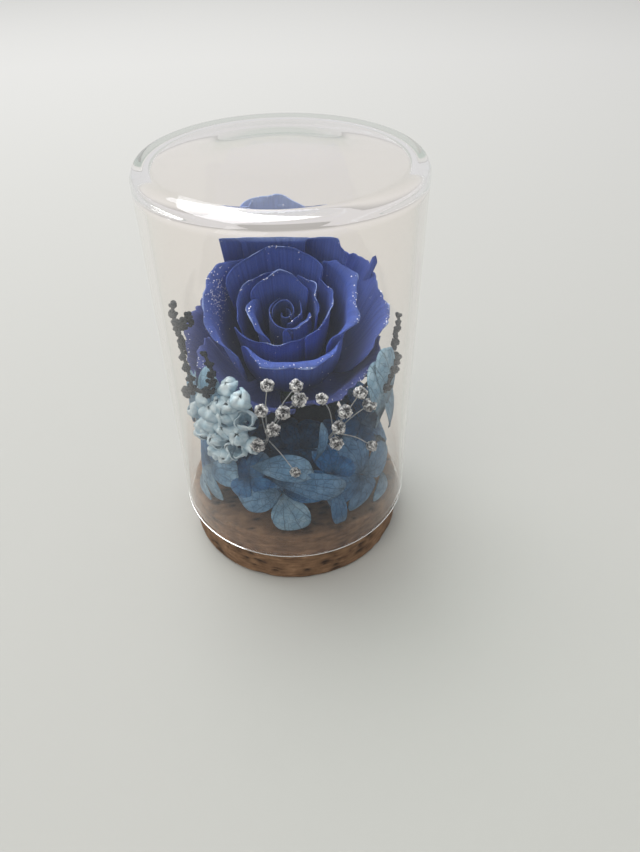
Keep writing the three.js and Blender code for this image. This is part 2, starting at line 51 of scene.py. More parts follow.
MM = 0.001
CORK_HEAD = 30.9  # radius of the head, then of the plug at the step and at its top
CORK_PLUG = 29.9
CORK_TIP = 29.2
CORK_STEP = 11.0  # height of the step, and of the plug's top
CORK_TOP = 17.0
CORK_EDGE = 1.2  # rounding of the head's lower edge
CORK_SIDES = 480
CORK_PITCH = 0.5  # distance between two rings of the surface
CORK_PORES = 230
PORE_SIZE = (0.25, 0.75)
PORE_STRETCH = (1.2, 3.2)
PORE_DEPTH = 0.45
CORK_HOLLOWS = 0.12  # depth of the shallow hollows of the bark
HOLLOW_RATE = 0.45  # hollows to a millimetre of the surface
BARK_GROWTH = np.array([1.0, 0.15, 0.0])  # along which the pores stretch on the plug's top
CORK_MOTTLE = 6.25  # size of the brown patches
CORK_GRAIN = (3.85, 2.38, 0.83)  # spacing of the growth streaks along x, y and z
CORK_SEED = 11
CORK_COLOURS = ("#3f2c1d", "#6a4e36", "#7f6045", "#957557")
CORK_PORE_COLOUR = "#1d110a"


def linear(colour):
    """An sRGB hex colour as the linear colour that a shader reads."""
    parts = [int(colour[i : i + 2], 16) / 255 for i in (1, 3, 5)]
    return [p / 12.92 if p <= 0.04045 else ((p + 0.055) / 1.055) ** 2.4 for p in parts] + [1.0]


def add_node(tree, kind, links=None, **settings):
    """Adds a node: settings are its properties, and links gives an input a value or an output."""
    made = tree.nodes.new(kind)
    for name, value in settings.items():
        setattr(made, name, value)
    for socket, value in (links or {}).items():
        if isinstance(value, bpy.types.NodeSocket):
            tree.links.new(value, made.inputs[socket])
        else:
            made.inputs[socket].default_value = value
    return made


def grain(size):
    """The scale of a pattern, from the size of its cells in millimetres."""
    return 1 / (size * MM)


def new_material(name):
    """An empty node material and its tree."""
    material = bpy.data.materials.new(name)
    material.use_nodes = True
    material.node_tree.nodes.clear()
    return material, material.node_tree


def finish_material(tree, settings, height=None, strength=0.0, depth=0.0):
    """Ends a material with its shader, and a bump of some millimetres where it has a height."""
    if height is not None:
        relief = {"Height": height, "Strength": strength, "Distance": depth * MM}
        bump = add_node(tree, "ShaderNodeBump", relief)
        settings = {**settings, "Normal": bump.outputs[0]}
    shader = add_node(tree, "ShaderNodeBsdfPrincipled", settings)
    add_node(tree, "ShaderNodeOutputMaterial", {"Surface": shader.outputs[0]})


def ramp(tree, factor, colours, places=None):
    """A colour ramp over evenly spread or given places."""
    made = add_node(tree, "ShaderNodeValToRGB", {"Fac": factor})
    places = places or [i / (len(colours) - 1) for i in range(len(colours))]
    stops = made.color_ramp.elements
    while len(stops) < len(colours):
        stops.new(0.5)
    for stop, place, colour in zip(stops, places, colours):
        stop.position = place
        stop.color = linear(colour)
    return made.outputs["Color"]


def add_object(name, data):
    """Puts a mesh, a lamp or a camera in the scene, at the origin."""
    made = bpy.data.objects.new(name, data)
    bpy.context.scene.collection.objects.link(made)
    return made


def make_mesh(name, points, edges=(), faces=(), attributes=None):
    """A mesh from points in millimetres, with named numbers, or rows of three, on its points."""
    mesh = bpy.data.meshes.new(name)
    mesh.from_pydata((np.asarray(points) * MM).tolist(), edges, faces)
    for attribute, values in (attributes or {}).items():
        values = np.asarray(values, dtype=np.float32)
        kind, field = ("FLOAT", "value") if values.ndim == 1 else ("FLOAT_VECTOR", "vector")
        layer = mesh.attributes.new(attribute, kind, "POINT")
        layer.data.foreach_set(field, values.ravel())
    return mesh


def make_piece(name, points, faces, material, attributes=None):
    """A smooth mesh object from points in millimetres, with named numbers on its points."""
    mesh = make_mesh(name, points, (), faces, attributes)
    mesh.materials.append(material)
    mesh.shade_smooth()
    mesh.validate()
    return add_object(name, mesh)


def arc(r, z, radius, start, end, steps):
    """Points of a rounding in a turned outline, about (r, z), angles in degrees."""
    angles = np.radians(np.linspace(start, end, steps + 1))
    return [(r + radius * math.cos(a), z + radius * math.sin(a)) for a in angles]


def evenly(outline, pitch):
    """The outline with extra points, so that no stretch is longer than the pitch."""
    dense = [outline[0]]
    for (r0, z0), (r1, z1) in zip(outline, outline[1:]):
        steps = max(1, math.ceil(math.hypot(r1 - r0, z1 - z0) / pitch))
        for i in range(1, steps + 1):
            dense.append((r0 + (r1 - r0) * i / steps, z0 + (z1 - z0) * i / steps))
    return dense


def outward(points, faces):
    """The faces of a closed body, turned round where they face inwards."""
    volume = 0.0
    for face in faces:
        a = points[face[0]]
        for i, k in zip(face[1:-1], face[2:]):
            volume += a @ np.cross(points[i], points[k])
    return faces if volume > 0 else [tuple(reversed(face)) for face in faces]


def turned(outline, sides):
    """Points and faces of a turned solid. The outline starts and ends on the axis."""
    rings = outline[1:-1]
    angles = np.arange(sides) * 2 * math.pi / sides
    points = [(0, 0, outline[0][1])]
    for r, z in rings:
        points += list(zip(r * np.cos(angles), r * np.sin(angles), np.full(sides, z)))
    points.append((0, 0, outline[-1][1]))
    last = len(points) - 1
    faces = []
    for i in range(sides):
        k = (i + 1) % sides
        faces.append((0, 1 + k, 1 + i))
        for ring in range(len(rings) - 1):
            a = 1 + ring * sides
            faces.append((a + i, a + k, a + sides + k, a + sides + i))
        faces.append((last, last - sides + i, last - sides + k))
    points = np.array(points)
    return points, outward(points, faces)


def cork_pores(points):
    """How deep each point lies in a pore, from 0 to 1."""
    draw = np.random.default_rng(CORK_SEED)
    depth = np.zeros(len(points))
    for _ in range(CORK_PORES):
        bearing = draw.uniform(0, 2 * math.pi)
        on_top = draw.random() < 0.5
        distance = CORK_TIP * math.sqrt(draw.random()) if on_top else CORK_HEAD
        centre = (
            distance * math.cos(bearing),
            distance * math.sin(bearing),
            CORK_TOP if on_top else draw.uniform(0, CORK_STEP),
        )
        size = draw.uniform(*PORE_SIZE)
        stretch = draw.uniform(*PORE_STRETCH)
        away = points - centre
        round_head = np.array([-math.sin(bearing), math.cos(bearing), 0.0])
        growth = BARK_GROWTH if on_top else round_head
        side = away @ growth / (size * stretch)
        rest = (away - np.outer(away @ growth, growth)) / size
        depth = np.maximum(depth, np.exp(-(side**2) - (rest**2).sum(axis=1)))
    return depth


def cork_material():
    """Natural cork, cut and sanded: matt, mottled in browns, with dark pores and a fine grain."""
    material, tree = new_material("natural cork")
    place = add_node(tree, "ShaderNodeTexCoord").outputs["Object"]
    mottle = add_node(
        tree,
        "ShaderNodeTexNoise",
        {"Vector": place, "Scale": grain(CORK_MOTTLE), "Detail": 6, "Roughness": 0.65},
    )
    streaked = {"Vector": place, "Scale": [grain(width) for width in CORK_GRAIN]}
    streak_place = add_node(tree, "ShaderNodeMapping", streaked).outputs["Vector"]
    streaks = add_node(
        tree, "ShaderNodeTexNoise", {"Vector": streak_place, "Scale": 1.0, "Detail": 4}
    )
    blend = add_node(
        tree,
        "ShaderNodeMix",
        {0: 0.45, 2: mottle.outputs["Fac"], 3: streaks.outputs["Fac"]},
        data_type="FLOAT",
    ).outputs[0]
    contrast = add_node(tree, "ShaderNodeMapRange", {0: blend, 1: 0.34, 2: 0.66, 3: 0.0, 4: 1.0})
    bark = ramp(tree, contrast.outputs[0], CORK_COLOURS)
    pore = add_node(tree, "ShaderNodeAttribute", attribute_name="pore").outputs["Fac"]
    darkened = {0: pore, 6: bark, 7: linear(CORK_PORE_COLOUR)}
    colour = add_node(tree, "ShaderNodeMix", darkened, data_type="RGBA")
    shader = {"Base Color": colour.outputs[2], "Roughness": 0.82}
    finish_material(tree, shader, blend, 0.5, 0.4)
    return material


def add_cork():
    outline = [(0, 0)]
    outline += arc(CORK_HEAD - CORK_EDGE, CORK_EDGE, CORK_EDGE, -90, 0, 4)
    outline += [(CORK_HEAD, CORK_STEP), (CORK_PLUG, CORK_STEP)]
    bevel = CORK_EDGE / 2
    outline += [(CORK_TIP, CORK_TOP - bevel), (CORK_TIP - bevel, CORK_TOP), (0, CORK_TOP)]
    points, faces = turned(evenly(outline, CORK_PITCH), CORK_SIDES)
    pore = cork_pores(points)
    hollow = np.array([noise.noise(Vector(p) * HOLLOW_RATE) for p in points.tolist()])
    middle = np.array([0, 0, CORK_TOP / 2])
    out = (points - middle) * (1, 1, 1.6)
    out /= np.linalg.norm(out, axis=1)[:, None]
    standing = points[:, 2] > 0.05  # the underside stays flat
    depth = PORE_DEPTH * pore + CORK_HOLLOWS * np.maximum(0, hollow)
    points = points - out * np.where(standing, depth, 0)[:, None]
    piece = make_piece("cork_stopper_bark", points, faces, cork_material(), {"pore": pore})
    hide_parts("cork_stopper")
    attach(piece, "root")


add_cork()

# ---- Foam block ----
# Dry floral foam, glued on the cork. Every stem is pushed into it, and the flowers hide it. It keeps
# its imported shape, and its cells show as a fine crumbly grain. Its near-black colour is painted
# shade.

FOAM_CELL = 0.714  # size of a cell
# nearly black: painted shade under the flowers
FOAM_PAINTED_SHADE = ("#07090c", "#141a20")


def foam_material():
    """Dry floral foam, dull and crumbly, coloured nearly black as painted shade of the flowers over
    it.
    """
    material, tree = new_material("dry floral foam")
    place = add_node(tree, "ShaderNodeTexCoord").outputs["Object"]
    cells = add_node(tree, "ShaderNodeTexVoronoi", {"Vector": place, "Scale": grain(FOAM_CELL)})
    depth = cells.outputs["Distance"]
    shader = {"Base Color": ramp(tree, depth, FOAM_PAINTED_SHADE), "Roughness": 0.95}
    finish_material(tree, shader, depth, 0.6, 0.3)
    return material


def add_foam():
    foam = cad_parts["foam_block"]
    foam.data.materials.clear()
    foam.data.materials.append(foam_material())


add_foam()

# ---- Rose head ----
# A rose cut at full bloom, dried and dyed royal blue. Its petals are thin, velvety blades that wrap
# round the eye and roll back at their rims, and it leans to the front on a short stem.

ROSE_BASE = (-0.8, 8.0, 47.5)
ROSE_LEAN = math.radians(27)
ROSE_THROAT = 1.7  # radius of the base that every petal grows from
ROSE_RISE = 0.8  # the share of a petal's length below its rolled lip
BOTTLE_RADIUS = 32.5
BOTTLE_WALL = 2.2
GLASS_GAP = 0.95  # from a petal's middle to the glass
CORK_GAP = 0.65  # from a petal's middle to the cork
PETAL_ACROSS = 48
PETAL_ALONG = 34
PETAL_HALF_BASE = 0.26  # half the thickness of a petal, at its base and at its rim
PETAL_HALF_RIM = 0.1
EYE_PETALS = 4  # the tight petals of the eye, darkened to their rims as painted shade
EYE_PAINTED_SHADE = 0.6
DULL_PETALS = (12, 17)  # from the first of these petals to the second the dye dulls
LOW_RIM = 26.0  # the outer petals with a lower rim took the weaker dye in full
HIGH_DULL = 0.3
OUTER_WAIST = 17.0  # the petals with a wider waist are the outer ones, with the most ragged rims
OUTER_NICKS = (0.09, 2.8)  # depth of the nicks, as a share of the petal's length, and how fine
INNER_NICKS = (0.035, 1.7)
RIM_DUSTED = 0.93  # where along a petal its glittered rim starts
SPRAYED_PETAL = 14  # the broad petal at the left, which took the most glitter
# From a petal's base to its rim: the dark low stops are painted shade in the folds, and the light last
# stop is partly a worn rim and partly a painted highlight.
ROSE_COLOURS_AND_PAINTED_LIGHT = ("#151a33", "#293765", "#4c66be", "#394f9a", "#3b5196", "#8295cc")
ROSE_PLACES = (0.0, 0.4, 0.72, 0.93, 0.985, 1.0)
ROSE_OUTER_COLOUR = "#4a5490"
ROSE_TIP_PAINTED_LIGHT = "#90a8de"  # painted light on the tips that stand near the glass end, paler towards the top
ROSE_PAINTED_LIGHT_HEIGHTS = (85.5, 91.5)  # where the painted light starts and where it is strongest
ROSE_SHEEN = "#8c9ad8"
ROSE_VEINS = (26, 2.2, 60)  # veins across a petal, waves along one, and a step between two petals
ROSE_SPIKE = (116, 2.2, 21.5, 25.5, 32, 0, 1, 0, 1.5, 0, 0)  # a torn strip of petal, at the right

# From the eye outwards: bearing, half its sweep in degrees, radius of its waist, radius and height of
# its rim, angle and radius of its rolled lip, tuck (how much further out its right edge lies), peak
# (how far its middle stands above its sides), ruffle (waving of the rim) and crease (how straight
# it runs across, with its edges standing out as corners).
ROSE_PETALS = (
    (20, 150, 1.7, 1.2, 27, 0, 1, 0.5, 0.3, 0, 0),
    (170, 120, 2.9, 2.6, 28.2, 0, 1, 0.6, 0.8, 0, 0),
    (285, 92, 4.2, 3.8, 28, 12, 1, 0.7, 0.6, 0.1, 0.1),
    (70, 64, 5, 3.6, 27.4, 15, 1, 0.9, 0.8, 0.2, 0.3),
    (185, 62, 6.4, 7.2, 31, 15, 1.5, 0.9, 3, 0.2, 0.3),
    (286, 48, 6.8, 7.4, 28.2, 85, 1.8, 0.6, 1, 0.2, 0.5),
    (42, 50, 6.8, 5.2, 27, 70, 2.1, 0.4, 0.6, 0.2, 0.5),
    (114, 46, 8, 8.2, 29.8, 25, 1.6, 0.9, 2.6, 0.3, 0.45),
    (232, 54, 9.2, 10.4, 30, 20, 1.6, 0.9, 1, 0.3, 0.2),
    (340, 60, 9.4, 9.2, 26.6, 25, 1.4, -2.4, 0.4, 0.3, 0.3),
    (82, 52, 10.4, 10.8, 28.8, 45, 2, 1.8, 1.4, 0.3, 0),
    (190, 58, 12.2, 14.2, 33, 20, 2.5, 1, 0.8, 0.4, 0),
    (4, 54, 14.4, 15, 28.6, 100, 2.3, 1.2, 0.2, 0.5, 0),
    (93, 50, 14.6, 15.6, 30, 95, 2.4, 1.2, 0.4, 0.5, 0),
    (268, 54, 14.8, 17, 32, 62, 3, 1.2, 0.2, 0.4, 0),
    (186, 26, 15.4, 19.3, 40.6, 20, 2.6, 1, 0.4, 0.5, 0.2),
    (318, 46, 18.4, 21.4, 20, 85, 2.6, 1.3, 1.8, 0.4, 0),
    (42, 46, 18.4, 22, 20.2, 65, 2.8, 1.3, 0.6, 0.5, 0),
    (98, 42, 19, 23.6, 26.2, 45, 2.8, 1.3, 0.8, 0.8, 0),
    (154, 31, 18.4, 20, 35.8, 32, 2.6, 1.3, 0.8, 0.5, 0),
    (198, 28, 18.4, 19.6, 39, 25, 2.4, 1.3, 0.8, 0.4, 0),
    (266, 34, 18.6, 23.2, 17.6, 60, 2.9, 1.3, 2, 0.6, 0),
)


def bend_clear(points):
    """Bends points that come near the glass or the cork smoothly back from them."""
    soft = 4.0  # how far before the glass, and before the cork, the bend starts
    low = 2.0
    inner = BOTTLE_RADIUS - BOTTLE_WALL - GLASS_GAP - soft
    radius = np.maximum(1e-6, np.hypot(points[..., 0], points[..., 1]))
    over = np.maximum(0, radius - inner)
    bent = np.where(over > 0, inner + soft * (1 - np.exp(-over / soft)), radius)
    floor = CORK_TOP + CORK_GAP
    under = np.maximum(0, floor + low - points[..., 2])
    height = np.where(under > 0, floor + low * np.exp(-under / low), points[..., 2])
    x, y = points[..., 0] * bent / radius, points[..., 1] * bent / radius
    return np.stack([x, y, height], axis=-1)


def in_rose(bearing, radius, height):
    """Points in the rose head, by bearing about its leaning axis, distance from it and height."""
    front = radius * np.cos(bearing)
    lean_cos, lean_sin = math.cos(ROSE_LEAN), math.sin(ROSE_LEAN)
    return np.stack(
        [
            ROSE_BASE[0] + radius * np.sin(bearing),
            ROSE_BASE[1] - front * lean_cos - height * lean_sin,
            ROSE_BASE[2] - front * lean_sin + height * lean_cos,
        ],
        axis=-1,
    )


def blade(points, half_thickness):
    """A closed thin solid round a grid of points: its points and faces, rows along, columns across."""
    across = np.gradient(points, axis=1)
    along = np.gradient(points, axis=0)
    normal = np.cross(across, along)
    normal /= np.maximum(1e-9, np.linalg.norm(normal, axis=-1))[..., None]
    push = normal * half_thickness[..., None]
    rows, columns = points.shape[:2]
    count = rows * columns
    solid = np.concatenate([(points + push).reshape(-1, 3), (points - push).reshape(-1, 3)])
    number = np.arange(count).reshape(rows, columns)
    a, b = number[:-1, :-1].ravel(), number[:-1, 1:].ravel()
    c, d = number[1:, 1:].ravel(), number[1:, :-1].ravel()
    faces = np.concatenate(
        [np.stack([a, b, c, d], axis=1), np.stack([a, d, c, b], axis=1) + count]
    )
    rim = np.concatenate([number[0, :-1], number[:-1, -1], number[-1, :0:-1], number[:0:-1, 0]])
    ahead = np.roll(rim, -1)
    band = np.stack([rim, rim + count, ahead + count, ahead], axis=1)
    faces = np.concatenate([faces, band])
    corner = solid[faces]
    volume = np.einsum("ij,ij", corner[:, 0], np.cross(corner[:, 1], corner[:, 2]))
    volume += np.einsum("ij,ij", corner[:, 0], np.cross(corner[:, 2], corner[:, 3]))
    faces = faces if volume > 0 else faces[:, ::-1]  # they point outwards
    return solid, faces.tolist()


def uneven(places, variety):
    """A smooth uneven wave along a rim, about -0.5 to 0.5, with steps of a few millimetres."""
    return np.array([noise.noise(Vector((x * 0.28, variety, 0.3))) for x in places])


def petal_grid(row, variety):
    """The middle surface of a rose petal, with its fine waves: points, across and along."""
    bearing, sweep, waist, rim, height, lip_angle, lip_radius, tuck, peak, ruffle, crease = row
    s, t = np.meshgrid(np.linspace(-1, 1, PETAL_ACROSS + 1), np.linspace(0, 1, PETAL_ALONG + 1))
    arc_length = s[0] * math.radians(sweep) * rim
    nick_depth, nick_rate = OUTER_NICKS if waist > OUTER_WAIST else INNER_NICKS
    nicks = nick_depth * uneven(arc_length * nick_rate, variety + 40)
    along = t * (1 - 0.22 * np.abs(s) ** 3 + nicks * t**8)  # round shoulders and a nicked rim

    # The cup: a smooth curve from the throat past the waist to where the lip starts.
    u = np.minimum(1, along / ROSE_RISE)
    waist_bulge, waist_level = (waist * 1.05, 1 + 0.1 * height), (waist, 0.6 * height)
    curve = [(ROSE_THROAT, 1.2), waist_bulge, waist_level, (rim, height)]
    weights = [(1 - u) ** 3, 3 * (1 - u) ** 2 * u, 3 * (1 - u) * u**2, u**3]
    radius = sum(w * p[0] for w, p in zip(weights, curve))
    level = sum(w * p[1] for w, p in zip(weights, curve))

    # The lip, rolled outwards.
    heading = math.atan2(rim - waist, 0.4 * height)
    roll = math.radians(lip_angle) * np.maximum(0, along - ROSE_RISE) / (1 - ROSE_RISE)
    radius = radius + lip_radius * (math.cos(heading) - np.cos(heading + roll))
    level = level + lip_radius * (np.sin(heading + roll) - math.sin(heading))

    # The waves of the rim and the hollows of the face, weaker on the tight petals of the eye.
    high = along**3
    radius = radius + tuck * s * (0.7 + 0.3 * along) + ruffle * np.sin(7 * s + bearing) * high
    level = level + peak * (1 - np.abs(s)) * high
    fine = min(1.0, 0.4 + waist / 14)
    radius = radius + fine * along**5 * 0.9 * uneven(arc_length, variety)
    level = level + fine * along**6 * 0.7 * uneven(arc_length * 0.8, variety + 20)
    radius = radius + fine * 0.5 * uneven(s[0] * 4, variety + 60) * along * (1 - along)

    # Round the eye: a petal is narrow at its base, and a creased one runs straighter across.
    turn = s * sweep * (0.45 + 0.55 * np.sin(np.minimum(1, along * 1.5) * 0.5 * math.pi))
    radius = radius * (1 + crease * high * (1 / np.cos(np.radians(0.9 * turn)) - 1))
    points = in_rose(np.radians(bearing + turn), np.maximum(0.4, radius), level)
    return bend_clear(points), s, along


def joined(solids):
    """Solids, each given as its points and faces, made one."""
    points, faces, count = [], [], 0
    for solid_points, solid_faces in solids:
        points.append(solid_points)
        faces += [tuple(i + count for i in face) for face in solid_faces]
        count += len(solid_points)
    return np.concatenate(points), faces


def gather(blades):
    """Joins blades into one list of points, one of faces and one array for each attribute."""
    points, faces = joined((solid, solid_faces) for solid, solid_faces, _ in blades)
    each = [attributes for _, _, attributes in blades]
    whole = {name: np.concatenate([one[name] for one in each]) for name in each[0]}
    return points, faces, whole


def glitter_on(number, across, along):
    """How much glitter a rose petal took: patches on its rim, next to none on its face."""
    patches = 0.12 + 0.5 * np.maximum(0, np.sin(6 * across + 3 * number) - 0.2)
    glitter = np.where(along > RIM_DUSTED, patches, 0.003)
    if number == SPRAYED_PETAL:
        cloud = 0.6 * np.exp(-(((across + 0.2) / 0.3) ** 2) - ((along - 0.78) / 0.13) ** 2)
        glitter = np.maximum(glitter, cloud)
    return glitter


def rose_blades():
    """The petals as blades, with what their dye and glitter go by as attributes."""
    blades = []
    thinning = PETAL_HALF_BASE - PETAL_HALF_RIM
    first, last = DULL_PETALS
    for number, row in enumerate((*ROSE_PETALS, ROSE_SPIKE)):
        points, across, along = petal_grid(row, 1.7 * number)
        solid, faces = blade(points, PETAL_HALF_BASE - thinning * along)
        outer = min(1.0, max(0.0, (number - first) / (last - first)))
        outer *= 1.0 if row[4] < LOW_RIM else HIGH_DULL
        attributes = {
            # the eye's petals have their along scaled down: painted shade deep in the bloom
            "along": np.tile(along.ravel(), 2) * (EYE_PAINTED_SHADE if number < EYE_PETALS else 1),
            "across": np.tile(across.ravel(), 2),
            "outer": np.full(2 * along.size, outer),
            "petal": np.full(2 * along.size, number / len(ROSE_PETALS)),
            "glitter": np.tile(glitter_on(number, across, along).ravel(), 2),
        }
        blades.append((solid, faces, attributes))
    return blades


def rose_material():
    """Dyed rose petal: velvety, with fine veins, darkened low in the cup as painted shade so it is
    near black in the folds, and lighter at the rim, partly from wear and partly as a painted
    highlight.
    """
    material, tree = new_material("dyed rose petal")
    along, across, petal, outer = (
        add_node(tree, "ShaderNodeAttribute", attribute_name=name).outputs["Fac"]
        for name in ("along", "across", "petal", "outer")
    )
    place = add_node(tree, "ShaderNodeTexCoord").outputs["Object"]
    spread = add_node(tree, "ShaderNodeCombineXYZ", {"X": across, "Y": along, "Z": petal})
    streaked = {"Vector": spread.outputs[0], "Scale": ROSE_VEINS}
    veins_place = add_node(tree, "ShaderNodeMapping", streaked).outputs["Vector"]
    veins = add_node(
        tree, "ShaderNodeTexNoise", {"Vector": veins_place, "Scale": 1.0, "Detail": 5}
    ).outputs["Fac"]
    # painted shade low in the petal, and a rim that is partly worn and partly a painted highlight
    blue = ramp(tree, along, ROSE_COLOURS_AND_PAINTED_LIGHT, ROSE_PLACES)
    dulled = {0: outer, 6: blue, 7: linear(ROSE_OUTER_COLOUR)}
    shade = add_node(tree, "ShaderNodeMix", dulled, data_type="RGBA").outputs[2]
    level = add_node(tree, "ShaderNodeSeparateXYZ", {"Vector": place}).outputs["Z"]
    # The tips near the glass end are painted paler by height: painted light.
    low, high = (height * MM for height in ROSE_PAINTED_LIGHT_HEIGHTS)
    tip = add_node(tree, "ShaderNodeMapRange", {0: level, 1: low, 2: high, 3: 0.0, 4: 0.85})
    tip_lightened = {0: tip.outputs[0], 6: shade, 7: linear(ROSE_TIP_PAINTED_LIGHT)}
    with_lit_tips = add_node(tree, "ShaderNodeMix", tip_lightened, data_type="RGBA").outputs[2]
    fade = add_node(tree, "ShaderNodeMapRange", {0: veins, 1: 0.3, 2: 0.7, 3: 0.82, 4: 1.15})
    veined = {"Color": with_lit_tips, "Value": fade.outputs[0]}
    shader = {
        "Base Color": add_node(tree, "ShaderNodeHueSaturation", veined).outputs[0],
        "Roughness": 0.6,
        "Specular IOR Level": 0.25,
        "Sheen Weight": 0.2,
        "Sheen Roughness": 0.5,
        "Sheen Tint": linear(ROSE_SHEEN),
    }
    finish_material(tree, shader, veins, 0.35, 0.25)
    return material


def add_rose():
    points, faces, attributes = gather(rose_blades())
    piece = make_piece("rose_petals", points, faces, rose_material(), attributes)
    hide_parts("rose_bloom")
    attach(piece, "root")
    return piece


rose = add_rose()

# ---- Glitter on the rose ----
# Fine clear glitter that was sprayed on the bloom. It catches on the rims of the petals and on the
# broad petal at the left, and each flake is a tiny flat hexagon glued at its own angle.

FLAKE_RADIUS = 0.15
FLAKE_THICKNESS = 0.03
FLAKE_LIFT = 0.02  # of glue under a flake
FLAKE_SIDES = 6
FLAKE_TILT = 0.9  # radians, at most
FLAKE_SIZES = (0.5, 1.25)  # times the radius
FLAKE_GAP = 0.25
FLAKES_DENSE = 5.0e6  # flakes to a square metre where the glitter is densest
GLITTER_COLOUR = "#f2f4ff"
GLITTER_SEED = 4


def named_input(tree, name, kind, value=None):
    """Adds an input to a Geometry Nodes tree and returns its identifier."""
    made = tree.interface.new_socket(name=name, in_out="INPUT", socket_type=kind)
    if value is not None:
        made.default_value = value
    return made.identifier


def new_geometry_tree(name):
    """A Geometry Nodes tree with its geometry input and output."""
    tree = bpy.data.node_groups.new(name, "GeometryNodeTree")
    tree.interface.new_socket(name="Geometry", in_out="INPUT", socket_type="NodeSocketGeometry")
    tree.interface.new_socket(name="Geometry", in_out="OUTPUT", socket_type="NodeSocketGeometry")
    return tree


def close_tree(tree, geometry, material):
    """Ends a tree: instances are made real, and take the material."""
    real = add_node(tree, "GeometryNodeRealizeInstances", {"Geometry": geometry})
    dressed = add_node(
        tree, "GeometryNodeSetMaterial", {"Geometry": real.outputs[0], "Material": material}
    )
    add_node(tree, "NodeGroupOutput", {"Geometry": dressed.outputs[0]})


def grown(name, source, tree, settings):
    """Runs a tree on a mesh object and returns what it makes as a plain mesh object."""
    modifier = source.modifiers.new(name, "NODES")
    modifier.node_group = tree
    for identifier, value in settings.items():
        modifier[identifier] = value
    bpy.context.view_layer.update()
    depsgraph = bpy.context.evaluated_depsgraph_get()
    mesh = bpy.data.meshes.new_from_object(source.evaluated_get(depsgraph), depsgraph=depsgraph)
    source.modifiers.remove(modifier)
    mesh.name = name
    return add_object(name, mesh)


def discard(*shapes):
    """Takes shapes that a tree has copied out of the file again."""
    for shape in shapes:
        mesh = shape.data
        bpy.data.objects.remove(shape)
        bpy.data.meshes.remove(mesh)


def glitter_tree():
    """Scatters a flake over the faces, as densely as the attribute glitter says."""
    tree = new_geometry_tree("scattered flakes")
    inputs = {
        "flake": named_input(tree, "Flake", "NodeSocketObject"),
        "density": named_input(tree, "Flakes to a square metre", "NodeSocketFloat", 1.0),
        "gap": named_input(tree, "Least gap", "NodeSocketFloat", 0.001),
        "least": named_input(tree, "Smallest size", "NodeSocketFloat", 1.0),
        "most": named_input(tree, "Largest size", "NodeSocketFloat", 1.0),
        "seed": named_input(tree, "Seed", "NodeSocketInt", 0),
        "material": named_input(tree, "Material", "NodeSocketMaterial"),
    }
    given = add_node(tree, "NodeGroupInput").outputs
    dense = add_node(
        tree, "GeometryNodeInputNamedAttribute", {"Name": "glitter"}, data_type="FLOAT"
    )
    scatter = {
        "Mesh": given["Geometry"],
        "Distance Min": given["Least gap"],
        "Density Max": given["Flakes to a square metre"],
        "Density Factor": dense.outputs[0],
        "Seed": given["Seed"],
    }
    points = add_node(
        tree, "GeometryNodeDistributePointsOnFaces", scatter, distribute_method="POISSON"
    )
    tilts = {
        0: (-FLAKE_TILT, -FLAKE_TILT, 0.0),
        1: (FLAKE_TILT, FLAKE_TILT, 6.3),
        "Seed": given["Seed"],
    }
    tilt = add_node(tree, "FunctionNodeRandomValue", tilts, data_type="FLOAT_VECTOR")
    turn = add_node(
        tree,
        "FunctionNodeRotateRotation",
        {"Rotation": points.outputs["Rotation"], "Rotate By": tilt.outputs[0]},
        rotation_space="LOCAL",
    )
    sizes = {2: given["Smallest size"], 3: given["Largest size"], "Seed": given["Seed"]}
    size = add_node(tree, "FunctionNodeRandomValue", sizes, data_type="FLOAT")
    flake = add_node(tree, "GeometryNodeObjectInfo", {"Object": given["Flake"]})
    copies = {
        "Points": points.outputs["Points"],
        "Instance": flake.outputs["Geometry"],
        "Rotation": turn.outputs[0],
        "Scale": size.outputs[1],
    }
    flakes = add_node(tree, "GeometryNodeInstanceOnPoints", copies)
    close_tree(tree, flakes.outputs[0], given["Material"])
    return tree, inputs


def glitter_material():
    """Clear polyester glitter: bright, hard and glossy, so single flakes flash."""
    material, tree = new_material("clear glitter")
    shader = {"Base Color": linear(GLITTER_COLOUR), "Metallic": 0.15, "Roughness": 0.3}
    finish_material(tree, shader)
    return material


def flake_mesh():
    """A flat hexagon, a little off the petal."""
    angles = np.arange(FLAKE_SIDES) * 2 * math.pi / FLAKE_SIDES
    rim = [(FLAKE_RADIUS * math.cos(a), FLAKE_RADIUS * math.sin(a)) for a in angles]
    points = [(x, y, z) for z in (FLAKE_LIFT, FLAKE_LIFT + FLAKE_THICKNESS) for x, y in rim]
    sides = range(FLAKE_SIDES)
    faces = [tuple(reversed(sides)), tuple(i + FLAKE_SIDES for i in sides)]
    for i in sides:
        k = (i + 1) % FLAKE_SIDES
        faces.append((i, k, k + FLAKE_SIDES, i + FLAKE_SIDES))
    return make_mesh("flake", points, (), faces)


def add_glitter():
    flake = add_object("flake", flake_mesh())
    tree, inputs = glitter_tree()
    settings = {
        inputs["flake"]: flake,
        inputs["density"]: FLAKES_DENSE,
        inputs["gap"]: FLAKE_GAP * MM,
        inputs["least"]: FLAKE_SIZES[0],
        inputs["most"]: FLAKE_SIZES[1],
        inputs["seed"]: GLITTER_SEED,
        inputs["material"]: glitter_material(),
    }
    piece = grown("rose_glitter", rose, tree, settings)
    discard(flake)
    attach(piece, "root")


add_glitter()

# ---- Rose stem ----
# The green cup under the bloom, with five narrow sepals folded back from it, and the short stem that
# is cut to length and stands in the foam.

